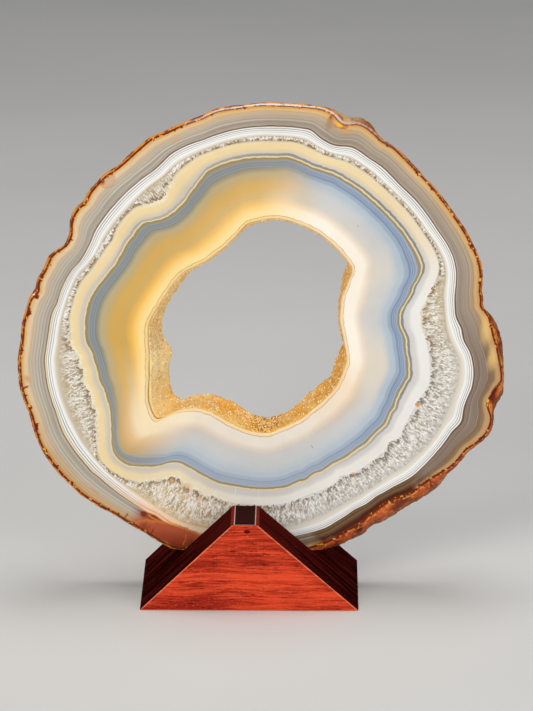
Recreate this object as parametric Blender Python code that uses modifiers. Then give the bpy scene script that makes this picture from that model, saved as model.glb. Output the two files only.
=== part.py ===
"""Agate slice with a crystal-lined hollow, standing in the slot of a small wooden block.

Frame: metres, +X to the right along the face, +Y away from the polished face, +Z up.
The origin is the middle of the block's underside.
"""
import math

import bmesh
import bpy
import numpy as np
from mathutils import Vector

# Wooden block
BLOCK_WIDTH = 0.088
BLOCK_DEPTH = 0.060
BLOCK_HEIGHT = 0.036
BLOCK_TOP_LEFT = -0.0069
BLOCK_TOP_RIGHT = 0.0035
BLOCK_EDGE = 0.0004
SLOT_FRONT = -0.0050
SLOT_WIDTH = 0.0116
SLOT_FLOOR = 0.0160

# Slice
GAP = 0.0003
THICKNESS = 0.0110
FACE_Y = SLOT_FRONT + GAP
CENTRE_X = 0.004
CENTRE_Z = 0.112
FOOT_Z = SLOT_FLOOR + GAP
DIVISIONS = 180
ROUGHNESS = 0.0006
RIPPLES_ROUND = (17, 31, 43, 60)

# Rings of the rim behind the face: the share of the slice's depth, how far a flaring rim has
# gone to its widest there, and how much a rim that draws in has drawn in
RIM_STATIONS = [(0.11, 0.40, 0.0), (0.45, 0.85, 0.0006), (0.77, 1.0, 0.0014), (1.0, 0.82, 0.0026)]
WIDEST_STATION = 2

# Crystal crust on the wall of the hollow
CRUST_SETBACK = 0.0009
CRUST_THICKNESS = 0.0030
CRUST_FRONT_THICKNESS = 0.0010
CRUST_CLEARANCE = GAP * 1.15
CRYSTAL_ROWS = 4
CRYSTAL_HEIGHT = 0.0011
SHORTEST_CRYSTAL = 0.35
CRYSTAL_LEAN = 0.35
CRYSTAL_BED_DENT = 0.3
SEED = 11

# Slot cutter: how much longer than the block it is, so that it cuts right through
CUTTER_LENGTH = BLOCK_WIDTH * 1.2
CUTTER_HEIGHT = BLOCK_HEIGHT
MERGE_DISTANCE = 0.00001

# The outline and the hollow's far edge were measured on the plane of the face, along sight
# lines from this point, so a ring further back is placed on the same sight lines.
VIEWPOINT = (0.025, -1.595, 0.585)

# Radii in millimetres about the slice's centre at clock angles in degrees: 0 is up, and the
# angle grows clockwise as seen from the face.
OUTLINE_MM = [
    (0, 91.0), (5, 91.2), (10, 91.9), (15, 93.0), (17, 93.3), (19, 93.0), (21, 92.2), (23, 92.9),
    (26, 93.9), (28, 93.4), (30, 91.9), (32, 90.5), (36, 90.9), (40, 89.9), (45, 89.4), (55, 89.5),
    (60, 89.9), (65, 90.6), (70, 91.2), (73, 91.7), (77, 90.9), (81, 89.3), (83, 89.6), (85, 88.9),
    (86, 90.5), (88, 93.2), (92, 95.9), (95, 97.3), (97, 97.6), (100, 98.8), (103, 100.5),
    (106, 101.6), (109, 100.4), (111, 99.9), (113, 102.2), (115.5, 102.8), (118, 102.2),
    (120, 101.0), (122, 99.1), (126, 98.9), (130, 97.9), (133, 98.6), (136, 97.8), (139, 97.6),
    (142, 96.3), (148, 96.4), (150, 96.5), (152, 95.8), (154, 97.2), (158, 97.4), (162, 98.3),
    (167, 98.9), (180, 100.5), (198, 100.8), (200, 101.8), (204, 101.0), (208, 100.0),
    (216, 100.0), (220, 101.0), (225, 102.4), (233, 102.9), (240, 102.6), (244, 101.3),
    (247, 100.1), (254, 100.1), (260, 98.4), (266, 95.8), (270, 95.0), (274, 93.3), (277, 92.7),
    (279, 90.4), (282, 90.6), (284, 89.0), (289, 88.1), (291, 86.0), (293, 84.1), (295, 83.9),
    (297, 84.4), (299, 86.2), (302, 87.1), (304, 87.0), (306, 85.8), (309, 87.0), (315, 87.0),
    (319, 86.0), (323, 86.3), (327, 87.2), (331, 88.2), (335, 87.6), (340, 88.1), (345, 88.4),
    (349, 90.0), (355, 90.2),
]
# How much of the rind shows outside the polished face
RIND_MM = [
    (0, 0.9), (15, 1.1), (19, 2.0), (20, 3.0), (22.5, 4.0), (24.5, 2.6), (28, 2.2), (31, 1.1),
    (40, 0.8), (84, 0.7), (87, 1.2), (90, 2.4), (93, 3.0), (96, 2.0), (100, 1.0), (104, 1.0),
    (105, 3.2), (109, 4.0), (112, 1.0), (128, 1.3), (130, 2.0), (133, 4.2), (140, 4.0),
    (143, 5.0), (146, 5.8), (150, 5.0), (152, 4.0), (157, 3.8), (160, 3.0), (166, 2.6),
    (180, 1.8), (198, 1.0), (276, 0.9), (278, 2.2), (280, 0.9),
]
# Share of the rim's depth that flares outwards behind the face: 0 draws in, 1 flares
FLARE = [
    (0, 0.1), (14, 0.2), (20, 0.8), (29, 0.8), (32, 0.3), (60, 0.2), (84, 0.2), (89, 0.8),
    (112, 0.8), (128, 0.7), (132, 1.0), (165, 1.0), (178, 0.5), (190, 0.0), (350, 0.0),
]
# Rim of the hollow on the face
HOLLOW_MM = [
    (0, 43.9), (5, 44.8), (10, 45.4), (20, 45.3), (35, 45.2), (45, 44.8), (57, 44.6), (60, 43.3),
    (62, 41.2), (66, 38.5), (70, 35.9), (75, 34.4), (80, 33.5), (85, 33.0), (90, 33.1),
    (95, 33.9), (100, 34.9), (105, 36.2), (110, 37.8), (114, 39.0), (120, 39.6), (125, 40.3),
    (130, 41.1), (140, 41.6), (150, 42.4), (156, 43.7), (165, 44.8), (170, 45.5), (175, 46.8),
    (180, 46.6), (185, 46.0), (195, 44.2), (202, 43.1), (208, 42.6), (213, 43.4), (217, 44.9),
    (220, 47.4), (222, 49.5), (223.5, 52.0), (225, 57.5), (226, 58.8), (229, 58.2), (234, 56.3),
    (240, 52.6), (243, 50.8), (250, 48.2), (255, 46.8), (265, 45.8), (270, 45.3), (276, 43.5),
    (282, 41.6), (290, 40.0), (300, 38.9), (306, 38.0), (312, 36.3), (320, 34.8), (325, 34.7),
    (335, 35.5), (340, 36.7), (345, 38.5), (350, 41.1), (353, 42.8),
]
# Far edge of the crystal crust, where the dark of the hollow begins
HOLLOW_FAR_MM = [
    (0, 41.6), (5, 42.9), (10, 43.8), (20, 43.8), (35, 43.8), (52, 43.5), (54, 42.0), (57, 39.0),
    (60, 37.0), (64, 35.4), (70, 33.0), (75, 32.0), (80, 31.6), (88, 31.2), (95, 32.1),
    (103, 33.6), (108, 32.8), (120, 33.3), (129, 34.8), (133, 34.0), (145, 33.7), (153, 34.8),
    (160, 37.0), (165, 37.7), (174, 38.2), (180, 37.5), (186, 36.5), (195, 34.0), (200, 33.2),
    (207, 33.3), (214, 34.8), (217, 35.5), (220, 37.5), (222, 39.0), (225, 43.6), (227, 44.3),
    (231, 44.3), (235, 43.0), (240, 41.4), (246, 38.5), (252, 36.2), (258, 36.7), (266, 38.6),
    (270, 38.6), (280, 37.3), (290, 35.8), (300, 35.0), (307, 34.7), (315, 33.5), (323, 32.8),
    (330, 33.0), (336, 33.7), (345, 36.6), (350, 38.7), (354, 40.8),
]

ANGLES = np.arange(DIVISIONS) * 360.0 / DIVISIONS
MM = 0.001


def around(points):
    """Value at each of the slice's clock angles, straight between the listed points."""
    degrees, values = zip(*points)
    return np.interp(ANGLES, degrees, values, period=360)


def ring(radii, y):
    """Points at the clock angles, at depth y: x = centre + r sin(angle), z = centre + r cos(angle)."""
    turn = np.radians(ANGLES)
    x = CENTRE_X + radii * np.sin(turn)
    z = CENTRE_Z + radii * np.cos(turn)
    return np.stack([x, np.full(len(x), y), z], axis=1)


def behind(radii, depth):
    """Radii of the ring `depth` behind the face that is seen at the given radii on the face."""
    seen = ring(radii, FACE_Y)
    eye = np.array(VIEWPOINT)
    far = seen + (seen - eye) * depth / (FACE_Y - VIEWPOINT[1])
    across, up = far[:, 0] - CENTRE_X, far[:, 2] - CENTRE_Z
    degrees = np.degrees(np.arctan2(across, up)) % 360.0
    return np.interp(ANGLES, degrees, np.hypot(across, up), period=360)


def ripple(seed, amount):
    """A bumpy run round the clock between 0 and `amount`, a sum of sine waves of random phase."""
    random = np.random.default_rng(seed)
    turn = np.radians(ANGLES)
    waves = sum(np.sin(count * turn + random.uniform(0, 2 * math.pi)) for count in RIPPLES_ROUND)
    return amount * (waves / (2 * len(RIPPLES_ROUND)) + 0.5)


def rim_rings():
    """Rings of the rind from the polished face's edge to the back face's edge."""
    outline = around(OUTLINE_MM) * MM
    face_edge = outline - around(RIND_MM) * MM
    flare = around(FLARE)
    widest = behind(outline, RIM_STATIONS[WIDEST_STATION][0] * THICKNESS)
    rings = [ring(face_edge, FACE_Y)]
    for step, (depth, spread, drawn) in enumerate(RIM_STATIONS):
        limit = behind(outline, depth * THICKNESS)
        flaring = face_edge + (widest - face_edge) * spread
        drawing_in = np.minimum(limit, outline) - drawn
        rough = ripple(SEED + step, ROUGHNESS) if step else 0.0
        radii = np.minimum(flaring * flare + drawing_in * (1 - flare), limit) - rough
        rings.append(ring(radii, FACE_Y + depth * THICKNESS))
    return rings


def wall_radii(depth):
    """Radii of the slice's own wall in the hollow: straight from the face's rim to the crust's back."""
    front = around(HOLLOW_MM) * MM
    back = behind(around(HOLLOW_FAR_MM) * MM, THICKNESS) + CRUST_THICKNESS
    return front + (back - front) * depth / THICKNESS


def wall_rings():
    """Rings of the hollow's wall from the back face to the polished face."""
    return [ring(wall_radii(depth), FACE_Y + depth) for depth in (THICKNESS, CRUST_SETBACK, 0.0)]


def new_object(name, mesh, material, collection):
    """An object of the mesh with its material, in the collection."""
    mesh.materials.append(material)
    thing = bpy.data.objects.new(name, mesh)
    collection.objects.link(thing)
    return thing


def loft(name, rings):
    """A mesh of quads, each split the same way, through rings that close on the first again."""
    points = np.concatenate(rings)
    count = len(rings[0])
    faces = []
    for row in range(len(rings)):
        near, far = row * count, (row + 1) % len(rings) * count
        for column in range(count):
            after = (column + 1) % count
            faces.append((near + column, far + column, far + after))
            faces.append((near + column, far + after, near + after))
    mesh = bpy.data.meshes.new(name)
    mesh.from_pydata(points.tolist(), [], faces)
    return mesh


def face_outwards(mesh):
    """Turn every face of the closed mesh outwards."""
    work = bmesh.new()
    work.from_mesh(mesh)
    bmesh.ops.recalc_face_normals(work, faces=work.faces)
    work.to_mesh(mesh)
    work.free()


def material(name, colour, roughness):
    """A Principled material of one colour."""
    made = bpy.data.materials.new(name)
    made.use_nodes = True
    shader = made.node_tree.nodes["Principled BSDF"]
    shader.inputs["Base Color"].default_value = (*colour, 1.0)
    shader.inputs["Roughness"].default_value = roughness
    shader.inputs["Metallic"].default_value = 0.0
    return made


def agate_slice(collection):
    """The slice: rough rind round the outside, a flat ground foot, and a hollow right through."""
    rings = rim_rings() + wall_rings()
    for points in rings:
        points[:, 2] = np.maximum(points[:, 2], FOOT_Z)
    mesh = loft("agate_slice", rings)
    face_outwards(mesh)
    return new_object("agate_slice", mesh, material("agate", (0.78, 0.66, 0.48), 0.18), collection)


def crystal(work, face, tip):
    """Raise a four-sided face to a pointed crystal whose tip is moved by the vector."""
    fan = bmesh.ops.poke(work, faces=[face])
    fan["verts"][0].co += tip


def crust_rings():
    """Rings round the crust: its outer side, front to back, then its inner side, back to front.
    The outer side keeps its clearance square to the wall, which runs steeply in and out."""
    wall_front, wall_back = wall_radii(CRUST_SETBACK), wall_radii(THICKNESS)
    turn = np.radians(360.0 / DIVISIONS)
    slope = (np.roll(wall_front, -1) - np.roll(wall_front, 1)) / (2 * turn * wall_front)
    clear = CRUST_CLEARANCE * np.sqrt(1 + slope ** 2)
    near_outer, far_outer = wall_front - clear, wall_back - clear
    near_inner = near_outer - CRUST_FRONT_THICKNESS
    far_inner = behind(around(HOLLOW_FAR_MM) * MM, THICKNESS)
    front_y, back_y = FACE_Y + CRUST_SETBACK, FACE_Y + THICKNESS
    rings = [ring(near_outer, front_y), ring(far_outer, back_y)]
    for row in range(CRYSTAL_ROWS, -1, -1):
        share = row / CRYSTAL_ROWS
        dent = 0.0 if row in (0, CRYSTAL_ROWS) else CRYSTAL_HEIGHT * CRYSTAL_BED_DENT
        radii = near_inner + (far_inner - near_inner) * share + dent
        rings.append(ring(radii, front_y + (back_y - front_y) * share))
    return rings


def grow_crystals(work, cells):
    """Raise a pointed crystal of random height and lean on each cell, towards the hollow."""
    random = np.random.default_rng(SEED)
    for cell in cells:
        middle = cell.calc_center_median()
        inwards = np.array([CENTRE_X - middle.x, 0.0, CENTRE_Z - middle.z])
        inwards /= np.linalg.norm(inwards)
        height = CRYSTAL_HEIGHT * random.uniform(SHORTEST_CRYSTAL, 1.0)
        sway = random.uniform(-CRYSTAL_LEAN, CRYSTAL_LEAN, 3)
        lean = sway * CRYSTAL_HEIGHT * np.array([1.0, 0.4, 1.0])
        crystal(work, cell, Vector(inwards * height + lean))


def druse_crust(collection):
    """The crust of small pointed crystals on the hollow's wall, from just inside its rim."""
    rings = crust_rings()
    count = DIVISIONS
    work = bmesh.new()
    dots = [work.verts.new(point) for point in np.concatenate(rings)]
    cells = []
    for row in range(len(rings)):
        near, far = row * count, (row + 1) % len(rings) * count
        for column in range(count):
            after = (column + 1) % count
            corners = [dots[near + column], dots[far + column], dots[far + after], dots[near + after]]
            if 2 <= row < len(rings) - 1:
                cells.append(work.faces.new(corners))
            else:
                work.faces.new((corners[0], corners[1], corners[2]))
                work.faces.new((corners[0], corners[2], corners[3]))
    grow_crystals(work, cells)
    mesh = bpy.data.meshes.new("druse_crust")
    work.to_mesh(mesh)
    work.free()
    face_outwards(mesh)
    return new_object("druse_crust", mesh, material("druse", (0.78, 0.50, 0.20), 0.3), collection)


def curve_to_mesh(curve_object, name):
    """A welded mesh of the curve object's evaluated shape, placed where the curve was."""
    graph = bpy.context.evaluated_depsgraph_get()
    mesh = bpy.data.meshes.new_from_object(curve_object.evaluated_get(graph))
    mesh.name = name
    mesh.transform(curve_object.matrix_world)
    work = bmesh.new()
    work.from_mesh(mesh)
    bmesh.ops.remove_doubles(work, verts=work.verts, dist=MERGE_DISTANCE)
    work.to_mesh(mesh)
    work.free()
    bpy.data.objects.remove(curve_object)
    return mesh


def block_outline():
    """The block's front outline, a flat curve as thick as the block is deep, stood upright."""
    half = BLOCK_WIDTH / 2
    corners = [(-half, 0.0), (half, 0.0), (BLOCK_TOP_RIGHT, BLOCK_HEIGHT), (BLOCK_TOP_LEFT, BLOCK_HEIGHT)]
    curve = bpy.data.curves.new("block outline", "CURVE")
    curve.dimensions = "2D"
    curve.fill_mode = "BOTH"
    curve.extrude = BLOCK_DEPTH / 2
    spline = curve.splines.new("POLY")
    spline.points.add(len(corners) - 1)
    for point, (across, up) in zip(spline.points, corners):
        point.co = (across, up, 0.0, 1.0)
    spline.use_cyclic_u = True
    outline = bpy.data.objects.new("block outline", curve)
    outline.rotation_euler = (math.pi / 2, 0.0, 0.0)
    return outline


def stand(collection, cutters):
    """The wooden block with sloping shoulders, and the slot that the slice stands in."""
    outline = block_outline()
    collection.objects.link(outline)
    bpy.context.view_layer.update()
    mesh = curve_to_mesh(outline, "stand")
    block = new_object("stand", mesh, material("red wood", (0.55, 0.10, 0.05), 0.45), collection)

    bpy.ops.mesh.primitive_cube_add(size=1.0)
    cutter = bpy.context.object
    cutter.name = "slot cutter"
    cutter.scale = (CUTTER_LENGTH, SLOT_WIDTH, CUTTER_HEIGHT)
    cutter.location = (0.0, SLOT_FRONT + SLOT_WIDTH / 2, SLOT_FLOOR + CUTTER_HEIGHT / 2)
    cutter.hide_render = True
    cutter.display_type = "WIRE"
    for collection_now in list(cutter.users_collection):
        collection_now.objects.unlink(cutter)
    cutters.objects.link(cutter)

    cut = block.modifiers.new("slot", "BOOLEAN")
    cut.operation = "DIFFERENCE"
    cut.solver = "EXACT"
    cut.object = cutter
    edge = block.modifiers.new("eased edges", "BEVEL")
    edge.width = BLOCK_EDGE
    edge.segments = 1
    edge.limit_method = "ANGLE"
    return block


def main():
    """Clear the scene and make the three pieces."""
    for thing in list(bpy.data.objects):
        bpy.data.objects.remove(thing)
    parts = bpy.data.collections.new("agate slice on stand")
    cutters = bpy.data.collections.new("cutters")
    for collection in (parts, cutters):
        bpy.context.scene.collection.children.link(collection)
    agate_slice(parts)
    druse_crust(parts)
    stand(parts, cutters)


main()
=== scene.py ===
"""The looks of an agate slice that stands in the slot of a red wood block.

Everything is in metres in the part's own frame: +X to the right along the polished face, +Y
away from it, +Z up, with the origin in the middle of the block's underside. The stone is laid
out as a clock: an angle in degrees, 0 at the top and growing clockwise as seen from the face,
and a distance from the slice's centre.
"""
import math

import bpy
import numpy as np
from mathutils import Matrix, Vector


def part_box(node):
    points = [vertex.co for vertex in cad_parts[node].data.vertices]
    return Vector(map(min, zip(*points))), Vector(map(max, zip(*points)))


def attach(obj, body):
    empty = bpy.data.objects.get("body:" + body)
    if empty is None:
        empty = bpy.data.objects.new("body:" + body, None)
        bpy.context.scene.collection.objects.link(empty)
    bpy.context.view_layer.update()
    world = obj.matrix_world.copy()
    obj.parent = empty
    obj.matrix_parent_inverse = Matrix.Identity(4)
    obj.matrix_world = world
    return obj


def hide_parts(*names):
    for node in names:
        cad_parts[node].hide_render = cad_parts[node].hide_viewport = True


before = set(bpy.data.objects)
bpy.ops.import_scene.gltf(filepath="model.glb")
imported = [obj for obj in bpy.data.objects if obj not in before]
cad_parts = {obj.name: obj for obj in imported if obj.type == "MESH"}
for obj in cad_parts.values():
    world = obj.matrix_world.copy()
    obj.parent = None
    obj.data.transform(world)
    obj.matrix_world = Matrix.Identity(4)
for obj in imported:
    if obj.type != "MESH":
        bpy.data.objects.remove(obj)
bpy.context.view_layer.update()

MM = 0.001
SLICE_LOW, SLICE_HIGH = (np.array(corner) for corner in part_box("agate_slice"))
STAND_LOW, STAND_HIGH = (np.array(corner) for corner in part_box("stand"))

# Places on the slice
FACE_Y = SLICE_LOW[1]
THICKNESS = SLICE_HIGH[1] - SLICE_LOW[1]
FOOT_Z = SLICE_LOW[2]
CENTRE_X = 0.004
CENTRE_Z = 0.112
COLUMNS = 1440
ANGLES = np.arange(COLUMNS) * 360.0 / COLUMNS
TURN = np.radians(ANGLES)
SEED = 7

# The camera stands where the photograph was taken. The outline and the far edge of the hollow
# were measured on the face's plane along sight lines from there.
CAMERA_PLACE = (0.0250, -1.5953, 0.5855)
CAMERA_DOWN = 17.0
CAMERA_LEFT = 0.66
CAMERA_LENS = 211.0
FILM_HEIGHT = 36.0

# Edges of the stone's layers, as (clock angle in degrees, distance from the centre in mm)
OUTLINE = [
    (0, 91.0), (5, 91.2), (10, 91.9), (15, 93.0), (17, 93.3), (19, 93.0), (21, 92.2), (23, 92.9),
    (26, 93.9), (28, 93.4), (30, 91.9), (32, 90.5), (36, 90.9), (40, 89.9), (45, 89.4), (55, 89.5),
    (60, 89.9), (65, 90.6), (70, 91.2), (73, 91.7), (77, 90.9), (81, 89.3), (83, 89.6), (85, 88.9),
    (86, 90.5), (88, 93.2), (92, 95.9), (95, 97.3), (97, 97.6), (100, 98.8), (103, 100.5),
    (106, 101.6), (109, 100.4), (111, 99.9), (113, 102.2), (115.5, 102.8), (118, 102.2),
    (120, 101.0), (122, 99.1), (126, 98.9), (130, 97.9), (133, 98.6), (136, 97.8), (139, 97.6),
    (142, 96.3), (148, 96.4), (150, 96.5), (152, 95.8), (154, 97.2), (158, 97.4), (162, 98.3),
    (167, 98.9), (180, 100.5), (198, 100.8), (200, 101.8), (204, 101.0), (208, 100.0),
    (216, 100.0), (220, 101.0), (225, 102.4), (233, 102.9), (240, 102.6), (244, 101.3),
    (247, 100.1), (254, 100.1), (260, 98.4), (266, 95.8), (270, 95.0), (274, 93.3), (277, 92.7),
    (279, 90.4), (282, 90.6), (284, 89.0), (289, 88.1), (291, 86.0), (293, 84.1), (295, 83.9),
    (297, 84.4), (299, 86.2), (302, 87.1), (304, 87.0), (306, 85.8), (309, 87.0), (315, 87.0),
    (319, 86.0), (323, 86.3), (327, 87.2), (331, 88.2), (335, 87.6), (340, 88.1), (345, 88.4),
    (349, 90.0), (355, 90.2),
]
RIND_SEEN = [
    (0, 0.9), (15, 1.1), (19, 2.0), (20, 3.0), (22.5, 4.0), (24.5, 2.6), (28, 2.2), (31, 1.1),
    (40, 0.8), (84, 0.7), (87, 1.2), (90, 2.4), (93, 3.0), (96, 2.0), (100, 1.0), (104, 1.0),
    (105, 3.2), (109, 4.0), (112, 1.0), (128, 1.3), (130, 2.0), (133, 4.2), (140, 4.0),
    (143, 5.0), (146, 5.8), (150, 5.0), (152, 4.0), (157, 3.8), (160, 3.0), (166, 2.6),
    (180, 1.8), (198, 1.0), (276, 0.9), (278, 2.2), (280, 0.9),
]
FLARE = [
    (0, 0.1), (14, 0.2), (20, 0.8), (29, 0.8), (32, 0.3), (60, 0.2), (84, 0.2), (89, 0.8),
    (112, 0.8), (128, 0.7), (132, 1.0), (165, 1.0), (178, 0.5), (190, 0.0), (350, 0.0),
]
BROWN_LINE = [
    (0, 81.2), (5, 81.6), (10, 82.2), (14, 82.5), (15, 82.0), (16, 81.1), (17, 80.4), (19, 79.5),
    (21, 79.2), (22.5, 79.4), (24, 80.3), (26, 81.5), (28, 81.6), (32, 80.9), (37, 81.0),
    (42, 80.1), (45, 79.9), (50, 80.3), (60, 80.5), (66, 81.5), (70, 81.8), (74, 81.2),
    (78, 79.7), (81, 78.5), (84, 78.0), (87, 78.0), (89, 79.0), (91, 80.5), (93.5, 81.1),
    (95, 82.0), (97, 84.2), (99, 85.8), (101, 86.9), (104, 88.2), (107, 88.9), (110, 88.5),
    (113, 88.7), (115, 89.8), (116.5, 90.6), (118, 90.0), (120, 89.1), (125, 89.0), (130, 88.7),
    (136, 88.5), (139, 87.6), (142, 86.7), (147, 86.1), (150, 86.8), (154, 86.7), (157, 87.8),
    (160, 88.7), (162, 89.6), (165, 90.0), (170, 90.3), (182, 91.5), (195, 92.3), (200, 92.5),
    (203, 91.9), (205, 91.2), (207.5, 90.1), (210, 90.8), (214, 91.0), (220, 91.1), (225, 91.2),
    (227.5, 91.7), (230, 91.5), (235, 91.5), (240, 91.2), (243, 90.4), (246, 89.6), (250, 89.2),
    (254, 88.5), (260, 87.3), (264, 85.5), (268, 84.1), (272, 83.2), (274, 82.4), (276, 81.0),
    (280, 80.3), (284, 79.0), (287, 77.8), (290, 75.8), (293, 75.2), (297, 75.1), (300, 75.8),
    (310, 75.8), (320, 75.8), (327, 75.9), (330, 76.8), (333, 78.1), (337, 78.8), (344, 79.0),
    (350, 80.1), (355, 80.8),
]
WHITE_END = [
    (0, 78.2), (5, 78.3), (10, 78.8), (13, 79.0), (15, 78.3), (17, 77.2), (20, 76.5), (22, 76.3),
    (25, 77.4), (27, 78.3), (31, 77.9), (35, 77.6), (40, 76.9), (45, 76.7), (55, 77.0),
    (60, 77.2), (65, 78.2), (70, 78.7), (74, 78.0), (78, 76.2), (82, 75.0), (87, 74.8),
    (90, 75.6), (93, 77.0), (95, 78.3), (97, 80.2), (100, 83.0), (103, 84.3), (106, 85.2),
    (112, 85.3), (115, 86.2), (116.5, 86.7), (119, 85.8), (125, 85.7), (130, 85.5), (136, 85.1),
    (140, 84.0), (143, 83.5), (147, 83.2), (150, 83.8), (154, 84.1), (157, 85.0), (160, 85.7),
    (163, 86.8), (168, 87.5), (195, 89.6), (200, 90.0), (205, 89.0), (210, 88.0), (220, 87.7),
    (225, 87.9), (235, 87.6), (240, 87.0), (250, 86.0), (255, 85.2), (260, 84.0), (265, 81.7),
    (270, 80.3), (275, 78.8), (280, 77.3), (285, 75.9), (287, 75.3), (290, 73.2), (293, 72.0),
    (297, 71.8), (300, 72.1), (310, 71.9), (320, 72.1), (328, 72.5), (330, 73.4), (333, 74.7),
    (336, 75.3), (340, 75.7), (345, 76.3), (350, 77.0), (355, 77.7),
]
QUARTZ_OUTER = [
    (0, 76.9), (10, 77.7), (13, 77.6), (15, 77.0), (20, 75.7), (22, 75.7), (25, 76.4), (30, 77.0),
    (35, 76.6), (40, 76.1), (45, 75.9), (60, 76.4), (65, 77.0), (70, 77.2), (73, 76.7),
    (76, 75.4), (80, 73.4), (85, 73.3), (90, 73.6), (93, 74.6), (96, 76.6), (98, 78.5),
    (100, 80.4), (103, 81.6), (107, 82.6), (115, 83.2), (120, 84.0), (125, 84.0), (130, 83.5),
    (135, 82.9), (140, 81.7), (150, 81.8), (155, 82.3), (160, 83.3), (165, 84.4), (170, 85.5),
    (190, 87.0), (195, 88.0), (200, 88.6), (205, 88.1), (210, 86.9), (214, 86.0), (217, 85.9),
    (220, 86.4), (225, 87.2), (230, 86.5), (235, 85.8), (240, 85.0), (250, 83.5), (255, 82.4),
    (260, 81.2), (265, 79.7), (270, 78.7), (275, 77.4), (280, 76.1), (285, 74.8), (288, 72.6),
    (290, 71.8), (295, 70.8), (300, 70.6), (310, 70.4), (315, 70.2), (320, 71.0), (328, 71.3),
    (332, 72.6), (335, 73.4), (340, 74.1), (345, 74.8), (350, 75.7), (355, 76.3),
]
QUARTZ_INNER = [
    (0, 75.4), (5, 75.6), (10, 76.2), (13, 76.0), (15, 75.3), (20, 74.3), (23, 74.5), (27, 75.4),
    (30, 75.5), (35, 75.3), (40, 74.8), (45, 74.7), (60, 75.2), (65, 75.8), (69, 76.0),
    (72, 75.0), (74, 73.5), (76, 71.6), (78, 69.7), (80, 67.8), (82, 66.6), (84.5, 64.2),
    (87, 64.5), (90, 64.2), (93, 65.5), (95, 66.8), (99, 68.2), (103, 69.8), (106, 71.2),
    (110, 72.4), (116, 71.2), (118, 71.0), (122, 71.5), (127, 72.0), (130, 73.6), (133.5, 71.1),
    (136, 73.1), (142, 73.0), (149, 73.0), (153, 71.2), (155, 73.1), (159, 74.0), (165, 74.3),
    (171, 76.0), (177, 76.2), (187, 76.0), (190, 76.3), (194, 74.7), (197, 75.8), (199, 74.0),
    (203, 75.3), (205.5, 73.0), (208, 72.5), (210, 75.5), (212, 77.0), (213.5, 78.5), (215, 81.0),
    (217, 83.2), (220, 85.0), (225, 86.2), (228, 86.2), (231, 84.6), (232.5, 82.4), (234, 80.1),
    (237, 78.0), (240, 75.8), (242, 74.6), (244, 75.4), (246, 73.7), (250, 75.0), (254.5, 72.9),
    (257, 74.4), (259, 73.2), (262, 75.3), (264, 76.2), (268, 75.6), (272, 76.2), (277, 75.0),
    (280, 74.5), (284, 73.2), (288, 71.0), (293, 69.4), (297, 68.8), (301, 67.9), (304, 69.2),
    (309, 69.5), (314, 69.2), (316, 68.2), (319, 65.7), (322, 65.2), (324, 64.3), (326, 66.0),
    (328, 67.7), (330, 69.2), (332, 70.6), (337, 72.1), (340, 73.3), (345, 73.8), (350, 74.6),
    (355, 75.1),
]
YELLOW_LINE = [
    (0, 68.9), (5, 69.1), (8, 69.8), (10, 70.0), (12, 69.5), (15, 68.9), (18, 68.3), (22, 68.4),
    (26, 68.9), (30, 68.5), (35, 68.5), (40, 68.2), (45, 68.2), (50, 68.4), (60, 68.9),
    (67, 69.1), (70, 68.5), (71.5, 67.6), (73, 65.8), (75, 63.4), (78, 61.5), (81, 58.8),
    (83, 57.1), (85, 56.2), (88, 55.9), (90, 56.0), (92, 56.8), (94, 58.0), (97, 59.0),
    (100, 59.5), (102, 60.4), (105, 61.8), (107, 62.4), (109.5, 63.5), (113, 63.0), (117, 62.8),
    (120, 63.1), (122, 64.0), (125, 64.0), (128, 65.0), (130, 65.5), (133, 65.0), (136, 65.2),
    (140, 65.6), (143, 65.3), (148, 65.7), (153, 65.5), (156, 66.1), (158, 66.8), (160, 66.4),
    (162, 66.9), (164, 68.2), (166, 68.0), (168, 68.4), (171, 69.4), (175, 69.6), (182, 69.4),
    (190, 68.9), (194, 69.1), (200, 67.8), (204, 67.0), (208, 66.6), (210, 67.3), (212, 68.5),
    (213, 70.0), (214, 72.0), (216, 74.2), (218, 76.2), (220, 78.2), (222, 80.0), (225, 80.7),
    (227, 80.3), (229, 79.1), (231, 77.1), (233, 74.8), (235, 73.1), (238, 70.7), (240, 69.7),
    (243, 69.1), (246, 68.1), (250, 68.6), (254, 67.9), (257, 68.2), (260, 68.3), (263, 69.6),
    (266, 70.1), (270, 69.9), (275, 69.4), (279, 68.6), (283, 66.8), (287, 64.9), (290, 63.7),
    (294, 62.5), (298, 62.2), (303, 62.6), (306, 62.2), (309, 62.7), (312.5, 62.2), (315, 60.3),
    (318, 58.5), (321, 57.6), (325, 57.7), (330, 58.8), (332, 60.2), (336, 62.3), (339, 64.4),
    (341.5, 66.3), (345, 67.3), (350, 68.1), (355, 68.7),
]
HOLLOW = [
    (0, 43.9), (5, 44.8), (10, 45.4), (20, 45.3), (35, 45.2), (45, 44.8), (57, 44.6), (60, 43.3),
    (62, 41.2), (66, 38.5), (70, 35.9), (75, 34.4), (80, 33.5), (85, 33.0), (90, 33.1),
    (95, 33.9), (100, 34.9), (105, 36.2), (110, 37.8), (114, 39.0), (120, 39.6), (125, 40.3),
    (130, 41.1), (140, 41.6), (150, 42.4), (156, 43.7), (165, 44.8), (170, 45.5), (175, 46.8),
    (180, 46.6), (185, 46.0), (195, 44.2), (202, 43.1), (208, 42.6), (213, 43.4), (217, 44.9),
    (220, 47.4), (222, 49.5), (223.5, 52.0), (225, 57.5), (226, 58.8), (229, 58.2), (234, 56.3),
    (240, 52.6), (243, 50.8), (250, 48.2), (255, 46.8), (265, 45.8), (270, 45.3), (276, 43.5),
    (282, 41.6), (290, 40.0), (300, 38.9), (306, 38.0), (312, 36.3), (320, 34.8), (325, 34.7),
    (335, 35.5), (340, 36.7), (345, 38.5), (350, 41.1), (353, 42.8),
]
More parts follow.
